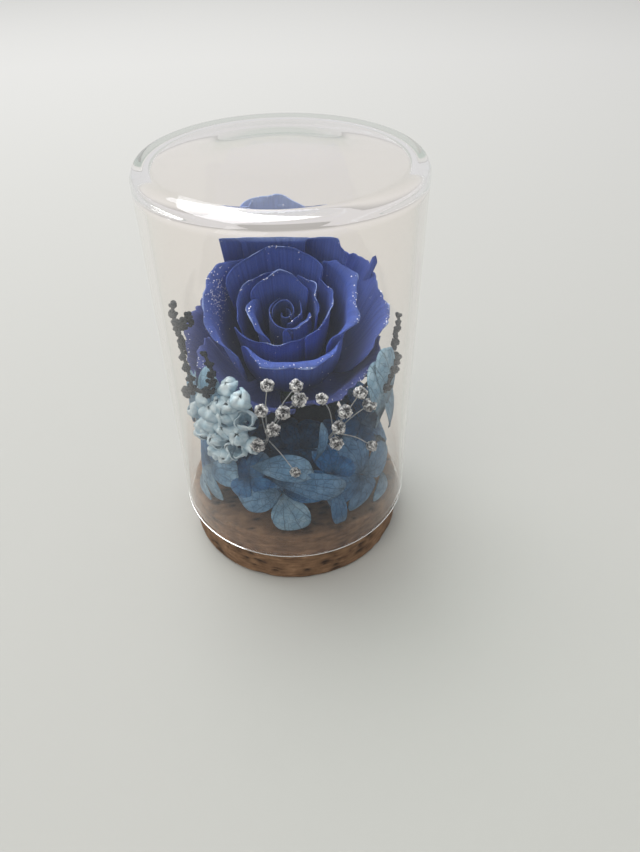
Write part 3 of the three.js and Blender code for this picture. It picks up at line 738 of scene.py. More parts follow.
STEM_CUP = ((0, -4.5), (1.5, -4.2), (2.3, -3.2), (2.7, -2), (3.1, -0.8), (3.3, 0.5), (0, 0.5))
STEM_CUP_PITCH = 0.5
STEM_CUP_SIDES = 48
STEM_HOLE = ((-0.8, 9.5, 27), (-0.8, 9.5, 39))
STEM_TOP = -3.5  # height in the rose head
STEM_BEND = (0, 1.2, 0)  # how far the stem bows off a straight line
STEM_RADIUS = 1.5
STEM_SIDES = 16
SEPAL_BEARINGS = (20, 92, 164, 236, 308)
SEPAL_SIDE = ((1.5, -0.6), (8, -0.8), (11, -5))  # radius and height where it starts, bends and ends
SEPAL_ACROSS = 8
SEPAL_ALONG = 16
SEPAL_HALF_WIDTH = 2.0
SEPAL_HALF_THICKNESS = 0.22
LEAF_STREAK = 1.43  # size of the patches on a leaf or stalk
STEM_COLOURS = ("#26351c", "#4c6b3c", "#6f8a58")


def tube(route, radius, sides):
    """Points and faces of a closed round tube along a smooth route."""
    route = np.asarray(route, dtype=float)
    ahead = np.gradient(route, axis=0)
    ahead /= np.linalg.norm(ahead, axis=1)[:, None]
    side = np.cross(ahead[0], (0.3, 0.2, 0.93))
    points = []
    for middle, way in zip(route, ahead):
        side = side - way * (side @ way)
        side /= np.linalg.norm(side)
        up = np.cross(way, side)
        for i in range(sides):
            a = 2 * math.pi * i / sides
            points.append(middle + radius * (math.cos(a) * side + math.sin(a) * up))
    faces = []
    for ring in range(len(route) - 1):
        for i in range(sides):
            a, b = ring * sides + i, ring * sides + (i + 1) % sides
            faces.append((a, b, b + sides, a + sides))
    count = len(points)
    points += [route[0], route[-1]]
    for i in range(sides):
        k = (i + 1) % sides
        faces.append((count, k, i))
        faces.append((count + 1, count - sides + i, count - sides + k))
    points = np.array(points)
    return points, outward(points, faces)


def smooth_route(points, steps):
    """Points evenly along a Catmull-Rom curve through the given ones."""
    p = np.asarray(points, dtype=float)
    p = np.concatenate([[2 * p[0] - p[1]], p, [2 * p[-1] - p[-2]]])
    made = []
    for a, b, c, d in zip(p, p[1:], p[2:], p[3:]):
        for t in np.arange(steps) / steps:
            made.append(
                0.5 * (2 * b + (c - a) * t + (2 * a - 5 * b + 4 * c - d) * t**2)
                + 0.5 * (3 * b - a - 3 * c + d) * t**3
            )
    made.append(p[-2])
    return np.array(made)


def leaf_material(name, colours, roughness=0.7):
    """Preserved leaf or stalk: matt, and mottled in close shades."""
    material, tree = new_material(name)
    place = add_node(tree, "ShaderNodeTexCoord").outputs["Object"]
    streaked = {"Vector": place, "Scale": grain(LEAF_STREAK), "Detail": 4}
    streaks = add_node(tree, "ShaderNodeTexNoise", streaked).outputs["Fac"]
    finish_material(tree, {"Base Color": ramp(tree, streaks, colours), "Roughness": roughness})
    return material


def sepal_grid(bearing):
    """The middle surface of a narrow sepal that folds back from under the bloom."""
    s, t = np.meshgrid(np.linspace(-1, 1, SEPAL_ACROSS + 1), np.linspace(0, 1, SEPAL_ALONG + 1))
    (r0, z0), (r1, z1), (r2, z2) = SEPAL_SIDE
    radius = (1 - t) ** 2 * r0 + 2 * t * (1 - t) * r1 + t**2 * r2
    height = (1 - t) ** 2 * z0 + 2 * t * (1 - t) * z1 + t**2 * z2
    half = SEPAL_HALF_WIDTH * (1 - 0.85 * t)
    return in_rose(math.radians(bearing) + s * half / radius, radius, height - 0.4 * np.abs(s))


def add_rose_stem():
    cup, cup_faces = turned(evenly(STEM_CUP, STEM_CUP_PITCH), STEM_CUP_SIDES)
    radius, bearing = np.hypot(cup[:, 0], cup[:, 1]), np.arctan2(cup[:, 0], -cup[:, 1])
    solids = [(in_rose(bearing, radius, cup[:, 2]), cup_faces)]
    for sepal_bearing in SEPAL_BEARINGS:
        grid = sepal_grid(sepal_bearing)
        solids.append(blade(grid, np.full(grid.shape[:2], SEPAL_HALF_THICKNESS)))
    top = in_rose(0.0, 0.0, STEM_TOP)
    foot, socket = np.array(STEM_HOLE)
    bend = (top + socket) / 2 + STEM_BEND
    route = smooth_route([foot, (foot + socket) / 2, socket, bend, top], 8)
    solids.append(tube(route, STEM_RADIUS, STEM_SIDES))
    points, faces = joined(solids)
    material = leaf_material("preserved rose stem", STEM_COLOURS)
    piece = make_piece("rose_stem_green", points, faces, material)
    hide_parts("rose_stem")
    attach(piece, "root")


add_rose_stem()

# ---- Hydrangea ----
# Preserved hydrangea florets, dyed a dusty blue, in four bunches pushed into the foam. Each floret
# has four broad papery petals that overlap by turns, with fine branching veins and paler rims.

FOAM_CENTRE = (0.0, 2.0, 0.0)
FOAM_RADIUS = 14.0
SHANK_INSIDE = 7.0  # how far a shank reaches into the foam, and how far straight out of it
SHANK_OUTSIDE = 1.5
SHANK_RADII = (0.8, 0.6)
STALK_RADIUS = 0.45
STALK_SIDES = 8
STALK_STRAIGHT = 2.5  # how far a floret's stalk runs straight behind its eye
STALK_SAG = 0.8
FLORET_ACROSS = 20
FLORET_ALONG = 16
FLORET_FAN = math.radians(49)  # half the angle that a petal fills, seen from the eye
FLORET_HALF_EYE = 0.165  # half the thickness of a petal, at the eye and at its rim
FLORET_HALF_RIM = 0.075
PETAL_MOTTLE = 3.125  # size of the patches on a petal
MAIN_VEINS = 2.4  # across half a petal
VEIN_NET = 1.613  # mesh of the net of fine veins
HYDRANGEA_SEED = 21
HYDRANGEA_DEEP = ("#164571", "#225c92", "#3576ae")
HYDRANGEA_PALE = ("#5f86a4", "#84a8c0", "#adc8d8")
HYDRANGEA_RIM = "#a9c3d2"
HYDRANGEA_STALK = ("#22384a", "#3c5c70", "#6c8796")

# Each bunch: its shank's bearing, height and rise in degrees, then its florets. A floret has the
# bearing, distance and height of its eye, the bearing and rise of its face, its spin, the length and
# droop of its petals, and how pale each petal is, counted from its right: from -1, dark, to 1. Below
# zero the petal is darkened as painted shade, where it lies deep in the collar.
HYDRANGEA = {
    "hydrangea_front": (
        (4, 26, 10),
        (
            (-8, 24.5, 30, -8, 36, 8, 12.3, 4.2, (0.2, 0.25, 0.6, 0.85)),
            (4, 19, 40, 4, 40, 45, 8, 1, (-0.8, -0.7, -0.7, -0.8)),
        ),
    ),
    "hydrangea_left": (
        (-62, 28, 15),
        (
            (-60, 25.5, 31.5, -60, 12, 42, 11.5, 2, (0.3, 0.4, 0.8, 0.6)),
            (-77, 23.3, 45.4, -70, 14, 45, 9.2, 0.5, (0.75, 0.8, 0.85, 0.6)),
            (-98, 25, 28.5, -98, 15, 5, 10.5, 1.5, (0.5, 0.6, 0.8, 0.7)),
            (-70, 21.5, 40, -64, 30, 10, 8.8, 1, (0.4, 0.5, 0.4, 0.3)),
        ),
    ),
    "hydrangea_right": (
        (66, 28, 15),
        (
            (41, 25.5, 30.5, 41, 14, 45, 12, 2, (0.4, 0.35, 0.2, 0.25)),
            (77, 23.3, 47, 68, 14, 45, 9.8, 0.5, (0.8, 0.85, 0.7, 0.8)),
            (94, 25, 27.5, 94, 15, 40, 10.5, 1.5, (0.7, 0.6, 0.5, 0.7)),
            (60, 20.5, 41, 54, 30, 22, 8.8, 1, (0.3, 0.1, -0.3, -0.2)),
        ),
    ),
    "hydrangea_back": (
        (180, 23, 20),
        (
            (127, 26.5, 48, 127, 8, 40, 10.5, 0.5, (0.6, 0.5, 0.7, 0.6)),
            (147, 25, 28.5, 147, 18, 5, 11, 1.5, (0.3, 0.5, 0.4, 0.6)),
            (180, 26, 47.5, 180, 8, 45, 10.5, 0.5, (0.4, 0.3, 0.5, 0.4)),
            (208, 25, 28.5, 208, 18, 10, 11, 1.5, (0.5, 0.7, 0.6, 0.5)),
            (233, 26.5, 48, 233, 8, 40, 10.5, 0.5, (0.7, 0.6, 0.6, 0.8)),
        ),
    ),
}

# Small florets pushed in between the stems, where they close the collar over the foam, most of them
# darkened as painted shade: the same values as above, with one value for how pale all four petals are.
INNER_FLORETS = (
    (-20, 18.5, 39, -20, 55, 10, 8, 1, -0.7), (24, 18.5, 39, 24, 55, 30, 8, 1, -0.7),
    (46, 19.5, 39.5, 46, 50, 5, 8, 1, -0.6), (-46, 19.5, 39, -46, 50, 50, 8, 1, -0.6),
    (0, 15.5, 41.5, 0, 70, 20, 7, 0.5, -0.8), (-88, 19, 40, -88, 45, 20, 8.5, 1, -0.3),
    (88, 19, 40.5, 88, 45, 60, 8.5, 1, -0.3), (118, 20, 41, 118, 40, 15, 8.5, 1, 0.1),
    (-122, 20, 41, -122, 40, 70, 8.5, 1, 0.1), (155, 21, 42, 155, 35, 40, 8.5, 1, 0.1),
    (-156, 21, 42, -156, 35, 10, 8.5, 1, 0.1), (-28, 24.5, 33.5, -30, 25, 35, 7.5, 1.5, 0.1),
    (21, 25, 35, 24, 25, 30, 7.5, 1.5, -0.1),
)
# Loose petals that stand or lie between the florets: the bearing, distance and height of the claw,
# the bearing and rise of the face, spin and length, how wide it is beside a floret's and how pale.
LOOSE_PETALS = (
    (-14, 26.8, 36.5, 6, 38, -16, 20, 0.52, 0.32), (17, 25.5, 35.5, 32, 18, -54, 18, 0.3, 0.25),
    (-25, 26.6, 39.5, -8, 45, -10, 15, 0.62, 0.45), (12, 23.5, 39.5, 30, 8, 96, 9.5, 0.32, 0.3),
    (-37, 26, 28, -50, 5, 78, 8, 0.35, 0.9), (62, 26.5, 25, 52, 18, -60, 11, 0.8, 0.75),
    (-72, 27, 24, -66, 15, -115, 9, 0.9, 0.95), (-88, 27, 36, -80, 8, 60, 10, 0.9, 0.7),
    (88, 27, 38, 80, 8, 120, 10, 0.9, 0.8), (54, 26.4, 47, 52, 4, 144, 16, 0.7, 0.95),
    (72, 27.2, 37, 70, 4, 163, 14, 0.8, 0.85), (64, 26.8, 48, 60, 4, 150, 17, 0.75, 1),
    (80, 27, 37, 78, 4, 170, 15, 1, 0.9), (-47, 26.6, 51, -46, 4, 38, 14, 0.7, 1),
    (-58, 27, 43, -56, 4, 25, 15, 0.8, 0.95), (-68, 27, 47, -66, 4, 30, 12, 0.7, 0.8),
    (-80, 27, 39, -78, 4, 12, 15, 0.95, 0.5), (-94, 27, 35, -92, 4, -2, 14, 0.9, 0.4),
    (92, 27, 38, 90, 4, 180, 14, 0.9, 0.6),
)


def around(bearing, radius, height):
    """A point at a bearing, a distance from the bottle's axis and a height."""
    a = math.radians(bearing)
    return np.array([radius * math.sin(a), -radius * math.cos(a), height])


def facing(bearing, rise, spin):
    """The turn that points +Z at a bearing and a rise, after a spin about +Z."""
    r = math.radians(rise)
    out = Vector(around(bearing, math.cos(r), math.sin(r)))
    turn = Vector((0, 0, 1)).rotation_difference(out).to_matrix()
    return np.array(turn @ Matrix.Rotation(math.radians(spin), 3, "Z"))


def shank_ends(bearing, height, rise):
    """Where a straight shank ends inside the foam and where it leaves the block."""
    slope = around(bearing, 1, math.tan(math.radians(rise)))
    slope /= np.linalg.norm(slope)
    exit_point = around(bearing, FOAM_RADIUS, height) + FOAM_CENTRE
    return exit_point - SHANK_INSIDE * slope, exit_point + SHANK_OUTSIDE * slope


def stalk_tree():
    """Makes round stalks along the edges, as thick as the attribute thickness says."""
    tree = new_geometry_tree("round stalks")
    inputs = {
        "sides": named_input(tree, "Sides", "NodeSocketInt", STALK_SIDES),
        "material": named_input(tree, "Material", "NodeSocketMaterial"),
    }
    given = add_node(tree, "NodeGroupInput").outputs
    curves = add_node(tree, "GeometryNodeMeshToCurve", {"Mesh": given["Geometry"]})
    section = add_node(
        tree,
        "GeometryNodeCurvePrimitiveCircle",
        {"Resolution": given["Sides"], "Radius": 1.0},
        mode="RADIUS",
    )
    thick = add_node(
        tree, "GeometryNodeInputNamedAttribute", {"Name": "thickness"}, data_type="FLOAT"
    )
    sweep = {
        "Curve": curves.outputs[0],
        "Profile Curve": section.outputs[0],
        "Scale": thick.outputs[0],
        "Fill Caps": True,
    }
    stalks = add_node(tree, "GeometryNodeCurveToMesh", sweep)
    smooth = add_node(tree, "GeometryNodeSetShadeSmooth", {"Geometry": stalks.outputs[0]})
    close_tree(tree, smooth.outputs[0], given["Material"])
    return tree, inputs


STALK_TREE = stalk_tree()


def grown_stalks(name, routes, material):
    """Stalks as one mesh object. A route is points in millimetres and a radius for each."""
    points, edges, radii = [], [], []
    for route, route_radii in routes:
        edges += [(len(points) + i, len(points) + i + 1) for i in range(len(route) - 1)]
        points += list(route)
        radii += list(route_radii)
    thickness = np.asarray(radii, dtype=np.float32) * MM
    mesh = make_mesh(name + " routes", points, edges, (), {"thickness": thickness})
    source = add_object(mesh.name, mesh)
    tree, inputs = STALK_TREE
    settings = {inputs["sides"]: STALK_SIDES, inputs["material"]: material}
    piece = grown(name, source, tree, settings)
    discard(source)
    return piece


def floret_petal(row, quarter, draw, width):
    """The middle surface of one hydrangea petal: points, across and along."""
    bearing, radius, height, face, rise, spin, length, droop = row[:8]
    u, v = np.meshgrid(np.linspace(-1, 1, FLORET_ACROSS + 1), np.linspace(0, 1, FLORET_ALONG + 1))

    # The outline: a claw that widens to a round blade, with a blunt point and a waved rim.
    claw = np.minimum(1, v / 0.45)
    fan = width * FLORET_FAN * (0.62 + 0.38 * claw**2 * (3 - 2 * claw))
    skew = draw.uniform(-0.12, 0.12)
    point = draw.uniform(0.0, 0.12) * np.exp(-(((u - skew) / 0.22) ** 2))
    rim = 0.94 + point + 0.05 * np.cos(3 * u + draw.uniform(-1, 1)) - 0.02 * np.cos(9 * u)
    along = v * (1 - 0.64 * np.abs(u - 0.3 * skew) ** draw.uniform(2.6, 4.6)) * rim

    # The relief: one pair of petals lies over the other, and each arches, droops and is waved.
    over = -1 if quarter % 2 else 1
    lift = over * 0.9 * along * (1 - u * u)
    arch = 0.12 * length * np.sin(math.pi * along) - droop * along**2
    wave = 0.5 * np.sin(3 * u + draw.uniform(0, 6)) * along**2
    wave = wave + draw.uniform(-1.2, 1.6) * np.abs(u) ** 3 * along
    wave = wave - 0.12 * np.cos(u * 12) * along * (1 - along)  # the furrows between the main veins

    angle = np.radians(90 * quarter + draw.uniform(-4, 4)) + fan * u
    flat = [length * along * np.cos(angle), length * along * np.sin(angle)]
    local = np.stack([*flat, lift + arch + wave], axis=-1)
    points = local @ facing(face, rise, spin).T + around(bearing, radius, height)
    return bend_clear(points), u, along


def petal_blade(row, quarter, pale, draw, width=1.0):
    """One hydrangea petal as a closed blade with its attributes."""
    grid, across, along = floret_petal(row, quarter, draw, width)
    thinning = FLORET_HALF_EYE - FLORET_HALF_RIM
    solid, faces = blade(grid, FLORET_HALF_EYE - thinning * along)
    tone = min(1.0, max(-1.0, pale + draw.uniform(-0.1, 0.1)))
    attributes = {
        "across": np.tile(across.ravel(), 2),
        "along": np.tile(along.ravel(), 2),
        "pale": np.full(2 * along.size, tone),
    }
    return solid, faces, attributes


def hydrangea_material():
    """Dyed hydrangea petal: papery and matt, with a net of fine dark veins, worn pale rims, and
    painted shade on the petals deep in the collar.
    """
    material, tree = new_material("preserved hydrangea petal")
    place = add_node(tree, "ShaderNodeTexCoord").outputs["Object"]
    across, along, pale = (
        add_node(tree, "ShaderNodeAttribute", attribute_name=name).outputs["Fac"]
        for name in ("across", "along", "pale")
    )
    mottled = {"Vector": place, "Scale": grain(PETAL_MOTTLE), "Detail": 5}
    mottle = add_node(tree, "ShaderNodeTexNoise", mottled).outputs["Fac"]

    # Main veins fan out along the petal, and a net of fine ones lies between them.
    spread = add_node(
        tree, "ShaderNodeMath", {0: across, 1: MAIN_VEINS, 2: 0.5}, operation="MULTIPLY_ADD"
    )
    wavering = {0: mottle, 1: 0.5, 2: spread.outputs[0]}
    bent = add_node(tree, "ShaderNodeMath", wavering, operation="MULTIPLY_ADD")
    rib = add_node(tree, "ShaderNodeMath", {0: bent.outputs[0], 1: 0.5}, operation="PINGPONG")
    main = add_node(tree, "ShaderNodeMapRange", {0: rib.outputs[0], 1: 0.0, 2: 0.07, 3: 1.0, 4: 0.0})
    cells = add_node(
        tree,
        "ShaderNodeTexVoronoi",
        {"Vector": place, "Scale": grain(VEIN_NET)},
        feature="DISTANCE_TO_EDGE",
    )
    net = add_node(tree, "ShaderNodeMapRange", {0: cells.outputs[0], 1: 0.0, 2: 0.07, 3: 0.7, 4: 0.0})
    both_veins = {0: main.outputs[0], 1: net.outputs[0]}
    veins = add_node(tree, "ShaderNodeMath", both_veins, operation="MAXIMUM").outputs[0]

    # The dye is paler on some petals and on every worn rim, and darker on the veins. Each petal is
    # darker towards its claw, and petals that lie deep in the collar are darkened as painted shade.
    deep = ramp(tree, mottle, HYDRANGEA_DEEP, (0.25, 0.5, 0.75))
    light = ramp(tree, mottle, HYDRANGEA_PALE, (0.25, 0.5, 0.75))
    body = add_node(tree, "ShaderNodeMix", {0: pale, 6: deep, 7: light}, data_type="RGBA")
    rim = add_node(tree, "ShaderNodeMapRange", {0: along, 1: 0.82, 2: 1.05, 3: 0.0, 4: 0.35})
    rimmed = {0: rim.outputs[0], 6: body.outputs[2], 7: linear(HYDRANGEA_RIM)}
    worn = add_node(tree, "ShaderNodeMix", rimmed, data_type="RGBA")
    shade = add_node(tree, "ShaderNodeMapRange", {0: veins, 1: 0.0, 2: 1.0, 3: 1.0, 4: 0.4})
    claw = add_node(tree, "ShaderNodeMapRange", {0: along, 1: 0.05, 2: 0.6, 3: 0.4, 4: 1.0})
    # a paleness below zero darkens the petal: painted shade deep in the collar
    inner = add_node(tree, "ShaderNodeMapRange", {0: pale, 1: -1.0, 2: 0.0, 3: 0.12, 4: 1.0})
    value = shade.outputs[0]
    for darker in (inner, claw):
        product = {0: value, 1: darker.outputs[0]}
        value = add_node(tree, "ShaderNodeMath", product, operation="MULTIPLY").outputs[0]
    toned = {"Color": worn.outputs[2], "Value": value}
    shader = {
        "Base Color": add_node(tree, "ShaderNodeHueSaturation", toned).outputs[0],
        "Roughness": 0.75,
        "Specular IOR Level": 0.15,
    }
    finish_material(tree, shader, veins, 0.45, 0.2)
    return material


def add_hydrangea():
    petal = hydrangea_material()
    stalk = leaf_material("dyed hydrangea stalk", HYDRANGEA_STALK)
    draw = np.random.default_rng(HYDRANGEA_SEED)
    for name, (shank, florets) in HYDRANGEA.items():
        inner, fork = shank_ends(*shank)
        blades = []
        routes = [([inner, fork], SHANK_RADII)]
        for row in florets:
            blades += [petal_blade(row, quarter, row[8][quarter], draw) for quarter in range(4)]
            eye = around(*row[:3])
            back = eye - facing(*row[3:6]) @ (0, 0, STALK_STRAIGHT)
            middle = (fork + back) / 2 - (0, 0, STALK_SAG)
            route = smooth_route([fork, middle, back, eye], 5)
            routes.append((route, np.full(len(route), STALK_RADIUS)))
        points, faces, attributes = gather(blades)
        petals = make_piece(name + "_petals", points, faces, petal, attributes)
        for piece in (petals, grown_stalks(name + "_stalks", routes, stalk)):
            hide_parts(name)
            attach(piece, "root")
    blades = [petal_blade(row, k, row[8], draw) for row in INNER_FLORETS for k in range(4)]
    for *place, length, width, pale in LOOSE_PETALS:
        blades.append(petal_blade((*place, length, 1.0), 0, pale, draw, width))
    points, faces, attributes = gather(blades)
    piece = make_piece("hydrangea_inner_petals", points, faces, petal, attributes)
    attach(piece, "root")


add_hydrangea()

# ---- Pale blossoms ----
# A spray of small pale blue blossoms, left of the rose. Each is a puffy bud or cup of rounded,
# overlapping petals, and they radiate on thin stalks from one fork.

PALE_SHANK = (-49, 33, 45)  # bearing and height where it enters the foam, and rise
PALE_FORK = (-40, 21.5, 44)  # bearing, distance from the bottle's axis and height
PALE_ROUTE_RADII = (0.7, 0.6, 0.5)
PALE_STALK_RADIUS = 0.28

# Each blossom: bearing, distance from the bottle's axis, height and radius.
PALE_BLOSSOMS = (
    (-25, 27.3, 61.6, 2), (-24, 26.7, 54.6, 2.1), (-45, 26.3, 53.8, 2.3), (-34, 26.5, 54.6, 2.4),
    (-48, 26.2, 49.6, 2.3), (-56, 26.4, 45.4, 2.2), (-43, 26.4, 45.6, 2.3), (-29, 26.6, 49.6, 2.2),
    (-31, 26.8, 44.8, 2.2), (-36.5, 26.4, 50, 2.2), (-32, 27.2, 58.6, 2), (-38, 26.8, 41.8, 2.1),
    (-38, 26.2, 57, 2.2), (-51, 26, 56.5, 2.1), (-53, 26.2, 46.5, 2.2), (-22, 26.4, 47, 1.8),
    (-62, 26.6, 50, 2.1), (-46, 26.4, 41, 2), (-33, 26, 63, 1.8),
)
BLOSSOM_FULLNESS = 1.12  # times the radius
BLOSSOM_KINDS = ((4, 2.9), (4, 2.2), (3, 2.95))  # how many petals, and the angle each bends through
PALE_MOTTLE = 1.92  # size of the patches on a petal
PALE_COLOURS = ("#64879f", "#9fbccd", "#d6e4ec")
PALE_STALK = ("#6f8797", "#93a9b4", "#b9c8cf")
SPOON_STEPS = 13  # points across and along a small petal
SPOON_HALF_THICKNESS = 0.045  # of a blossom of unit radius
BLOSSOM_SEED = 8


def placing_tree():
    """Puts one of a collection's shapes on each point, by the attributes size and turn."""
    tree = new_geometry_tree("placed blossoms")
    inputs = {
        "shapes": named_input(tree, "Shapes", "NodeSocketCollection"),
        "seed": named_input(tree, "Seed", "NodeSocketInt", 0),
        "material": named_input(tree, "Material", "NodeSocketMaterial"),
    }
    given = add_node(tree, "NodeGroupInput").outputs
    size, turn = [
        add_node(tree, "GeometryNodeInputNamedAttribute", {"Name": name}, data_type=kind)
        for name, kind in (("size", "FLOAT"), ("turn", "FLOAT_VECTOR"))
    ]
    separate = {"Collection": given["Shapes"], "Separate Children": True}
    shapes = add_node(tree, "GeometryNodeCollectionInfo", separate)
    any_of_three = {4: 0, 5: 2, "Seed": given["Seed"]}
    which = add_node(tree, "FunctionNodeRandomValue", any_of_three, data_type="INT")
    copies = {
        "Points": given["Geometry"],
        "Instance": shapes.outputs[0],
        "Pick Instance": True,
        "Instance Index": which.outputs[2],
        "Rotation": turn.outputs[0],
        "Scale": size.outputs[0],
    }
    on_points = add_node(tree, "GeometryNodeInstanceOnPoints", copies)
    close_tree(tree, on_points.outputs[0], given["Material"])
    return tree, inputs


PLACING_TREE = placing_tree()


def placed(name, shapes, places, turns, sizes, material, seed):
    """Copies of three shapes, given as points of unit size, faces and attributes, as one mesh."""
    collection = bpy.data.collections.new(name + " shapes")
    bpy.context.scene.collection.children.link(collection)
    made = []
    for number, (points, faces, attributes) in enumerate(shapes):
        mesh = make_mesh(f"{name} shape {number}", points, (), faces, attributes)
        mesh.shade_smooth()
        shape = bpy.data.objects.new(mesh.name, mesh)
        collection.objects.link(shape)
        made.append(shape)
    rows = make_mesh(name + " places", places, (), (), {"size": sizes, "turn": turns})
    source = add_object(rows.name, rows)
    tree, inputs = PLACING_TREE
    settings = {
        inputs["shapes"]: collection,
        inputs["seed"]: seed,
        inputs["material"]: material,
    }
    piece = grown(name, source, tree, settings)
    discard(source, *made)
    bpy.data.collections.remove(collection)
    return piece


def outlook(fork, at, spin):
    """The turn of a blossom: on along its stalk, and a little outwards and up, as angles."""
    way = (at - fork) / np.linalg.norm(at - fork)
    way = way + np.array([at[0], at[1], 0]) * 0.6 / math.hypot(at[0], at[1]) + (0, 0, 0.5)
    turn = Vector((0, 0, 1)).rotation_difference(Vector(way))
    return (turn.to_matrix() @ Matrix.Rotation(spin, 3, "Z")).to_euler("XYZ")[:]


def spoon_blossom(draw, petals, closed):
    """A blossom of unit radius, looking up: petals bent like spoons, to an angle in radians."""
    blades = []
    shift = Vector(draw.uniform(0, 50, 3))
    steps = np.linspace(-1, 1, SPOON_STEPS), np.linspace(0, 1, SPOON_STEPS)
    u, v = np.meshgrid(*steps)
    round_side = 1 - 0.3 * np.abs(2 * v - 1) ** 3
    for number in range(petals):
        bulge = draw.uniform(0.95, 1.15)
        opened = 0.4 * draw.uniform() * (number % 2)
        rise = 0.2 + (closed - opened) * v * (1 - 0.08 * u * u)
        half = draw.uniform(0.95, 1.15) * 4.7 / petals * round_side
        a = 2 * math.pi * (number + draw.uniform(-0.12, 0.12)) / petals + half * u
        radius = bulge * np.sin(rise) * (1 - 0.07 * number + 0.08 * u) + 0.03
        height = 0.1 - 0.85 * bulge * np.cos(rise) + 0.1 * np.cos(2 * u) * v
        grid = np.stack([radius * np.cos(a), radius * np.sin(a), height], axis=-1)
        lumps = [noise.noise(Vector(point) * 1.5 + shift) for point in grid.reshape(-1, 3)]
        grid = grid * (1 + 0.38 * np.reshape(lumps, v.shape)[..., None])
        solid, faces = blade(grid, np.full(v.shape, SPOON_HALF_THICKNESS))
        blades.append((solid, faces, {"along": np.tile(v.ravel(), 2)}))
    return gather(blades)


def petal_material(name, colours, roughness):
    """A small dried petal: matt, mottled, and paler towards its rim."""
    material, tree = new_material(name)
    place = add_node(tree, "ShaderNodeTexCoord").outputs["Object"]
    along = add_node(tree, "ShaderNodeAttribute", attribute_name="along").outputs["Fac"]
    mottled = {"Vector": place, "Scale": grain(PALE_MOTTLE), "Detail": 4}
    mottle = add_node(tree, "ShaderNodeTexNoise", mottled).outputs["Fac"]
    blend = add_node(tree, "ShaderNodeMath", {0: mottle, 1: 0.7}, operation="MULTIPLY")
    rising = {0: along, 1: 0.35, 2: blend.outputs[0]}
    tone = add_node(tree, "ShaderNodeMath", rising, operation="MULTIPLY_ADD")
    shader = {
        "Base Color": ramp(tree, tone.outputs[0], colours, (0.3, 0.5, 0.75)),
        "Roughness": roughness,
        "Specular IOR Level": 0.2,
    }
    finish_material(tree, shader, mottle, 0.3, 0.15)
    return material


def fine_stalk(fork, to, radius):
    """A thin stalk from near a fork, arching out and up to a blossom."""
    start = fork + 0.7 * (to - fork) / np.linalg.norm(to - fork)
    reach = np.linalg.norm(to - start)
    middle = (start + to) / 2
    middle = middle + np.array([middle[0], middle[1], 0]) * 0.06 * reach / math.hypot(*middle[:2])
    middle[2] += 0.12 * reach
    route = smooth_route([start, middle, to], 6)
    return route, radius * np.linspace(1.15, 0.75, len(route))


def spray_stalks(shank, fork, places, radii, radius):
    """The stalks of a spray: the thick one from the foam to its fork, and a thin one to each place."""
    inner, exit_point = shank_ends(*shank)
    return [([inner, exit_point, fork], radii), *(fine_stalk(fork, at, radius) for at in places)]


def add_pale_spray():
    draw = np.random.default_rng(BLOSSOM_SEED)
    fork = around(*PALE_FORK)
    places = np.array([around(*row[:3]) for row in PALE_BLOSSOMS])
    shapes = [spoon_blossom(draw, *kind) for kind in BLOSSOM_KINDS]
    turns = [outlook(fork, at, draw.uniform(0, 6)) for at in places]
    sizes = [BLOSSOM_FULLNESS * row[3] for row in PALE_BLOSSOMS]
    petal = petal_material("dried pale blossom", PALE_COLOURS, 0.7)
    stalk = leaf_material("dried pale stalk", PALE_STALK)
    routes = spray_stalks(PALE_SHANK, fork, places, PALE_ROUTE_RADII, PALE_STALK_RADIUS)
    blossoms = placed("pale_spray_blossoms", shapes, places, turns, sizes, petal, BLOSSOM_SEED)
    for piece in (blossoms, grown_stalks("pale_spray_stalks", routes, stalk)):
        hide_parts("pale_spray")
        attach(piece, "root")


add_pale_spray()

# ---- Gypsophila ----
# Two sprays of dried gypsophila in front of the rose, sprayed silver. Each blossom is a ball of
# crumpled petals in a small cup, on a stalk as thin as wire.

# Each spray: its shank's bearing, height and rise, the place of its fork, and for each blossom its
# bearing, distance, height and radius.
GYPSOPHILA = {
    "gypsophila_left": (
        (-33, 33, 45),
        (-17, 22, 46),
        (
            (-11.3, 26.8, 66.3, 1.6), (2.2, 26.8, 66.2, 1.6), (3.5, 26.9, 62.3, 1.9),
            (-4.7, 26.8, 58.6, 1.8), (-15.3, 26.8, 58.8, 1.7), (-10.3, 26.8, 53.3, 1.9),
            (-18, 27.5, 48.4, 1.8), (0, 27.4, 40, 1.4),
        ),
    ),
    "gypsophila_right": (
        (30, 33, 45),
        (27, 22, 46),
        (
            (14.5, 26.8, 61.6, 1.5), (36.2, 26.8, 59.6, 1.7), (43.4, 26.8, 54.1, 1.8),
            (26.8, 26.8, 55.8, 1.8), (23.4, 26.8, 51.5, 1.8), (22.2, 26.8, 46.8, 1.8),
            (44, 27.9, 41, 1.5),
        ),
    ),
}
GYPSOPHILA_ROUTE_RADII = (0.55, 0.45, 0.35)
GYPSOPHILA_STALK_RADIUS = 0.15
BLOSSOM_CUP = ((0, -1.1), (0.2, -1.0), (0.45, -0.75), (0.5, -0.45), (0, -0.3))
CUP_SIDES = 10
BLOSSOM_RINGS = 15
BLOSSOM_SIDES = 28
CRINKLE = 0.526  # size of the fine crinkles
# silver, with painted shade in the darkest stop and a painted highlight in the white one
GYPSOPHILA_SILVER_AND_PAINTED_LIGHT = ("#17171a", "#9c9c9e", "#ffffff")
GYPSOPHILA_STALK = ("#75787c", "#a4a7a9", "#d0d1d0")
GYPSOPHILA_SEED = 17


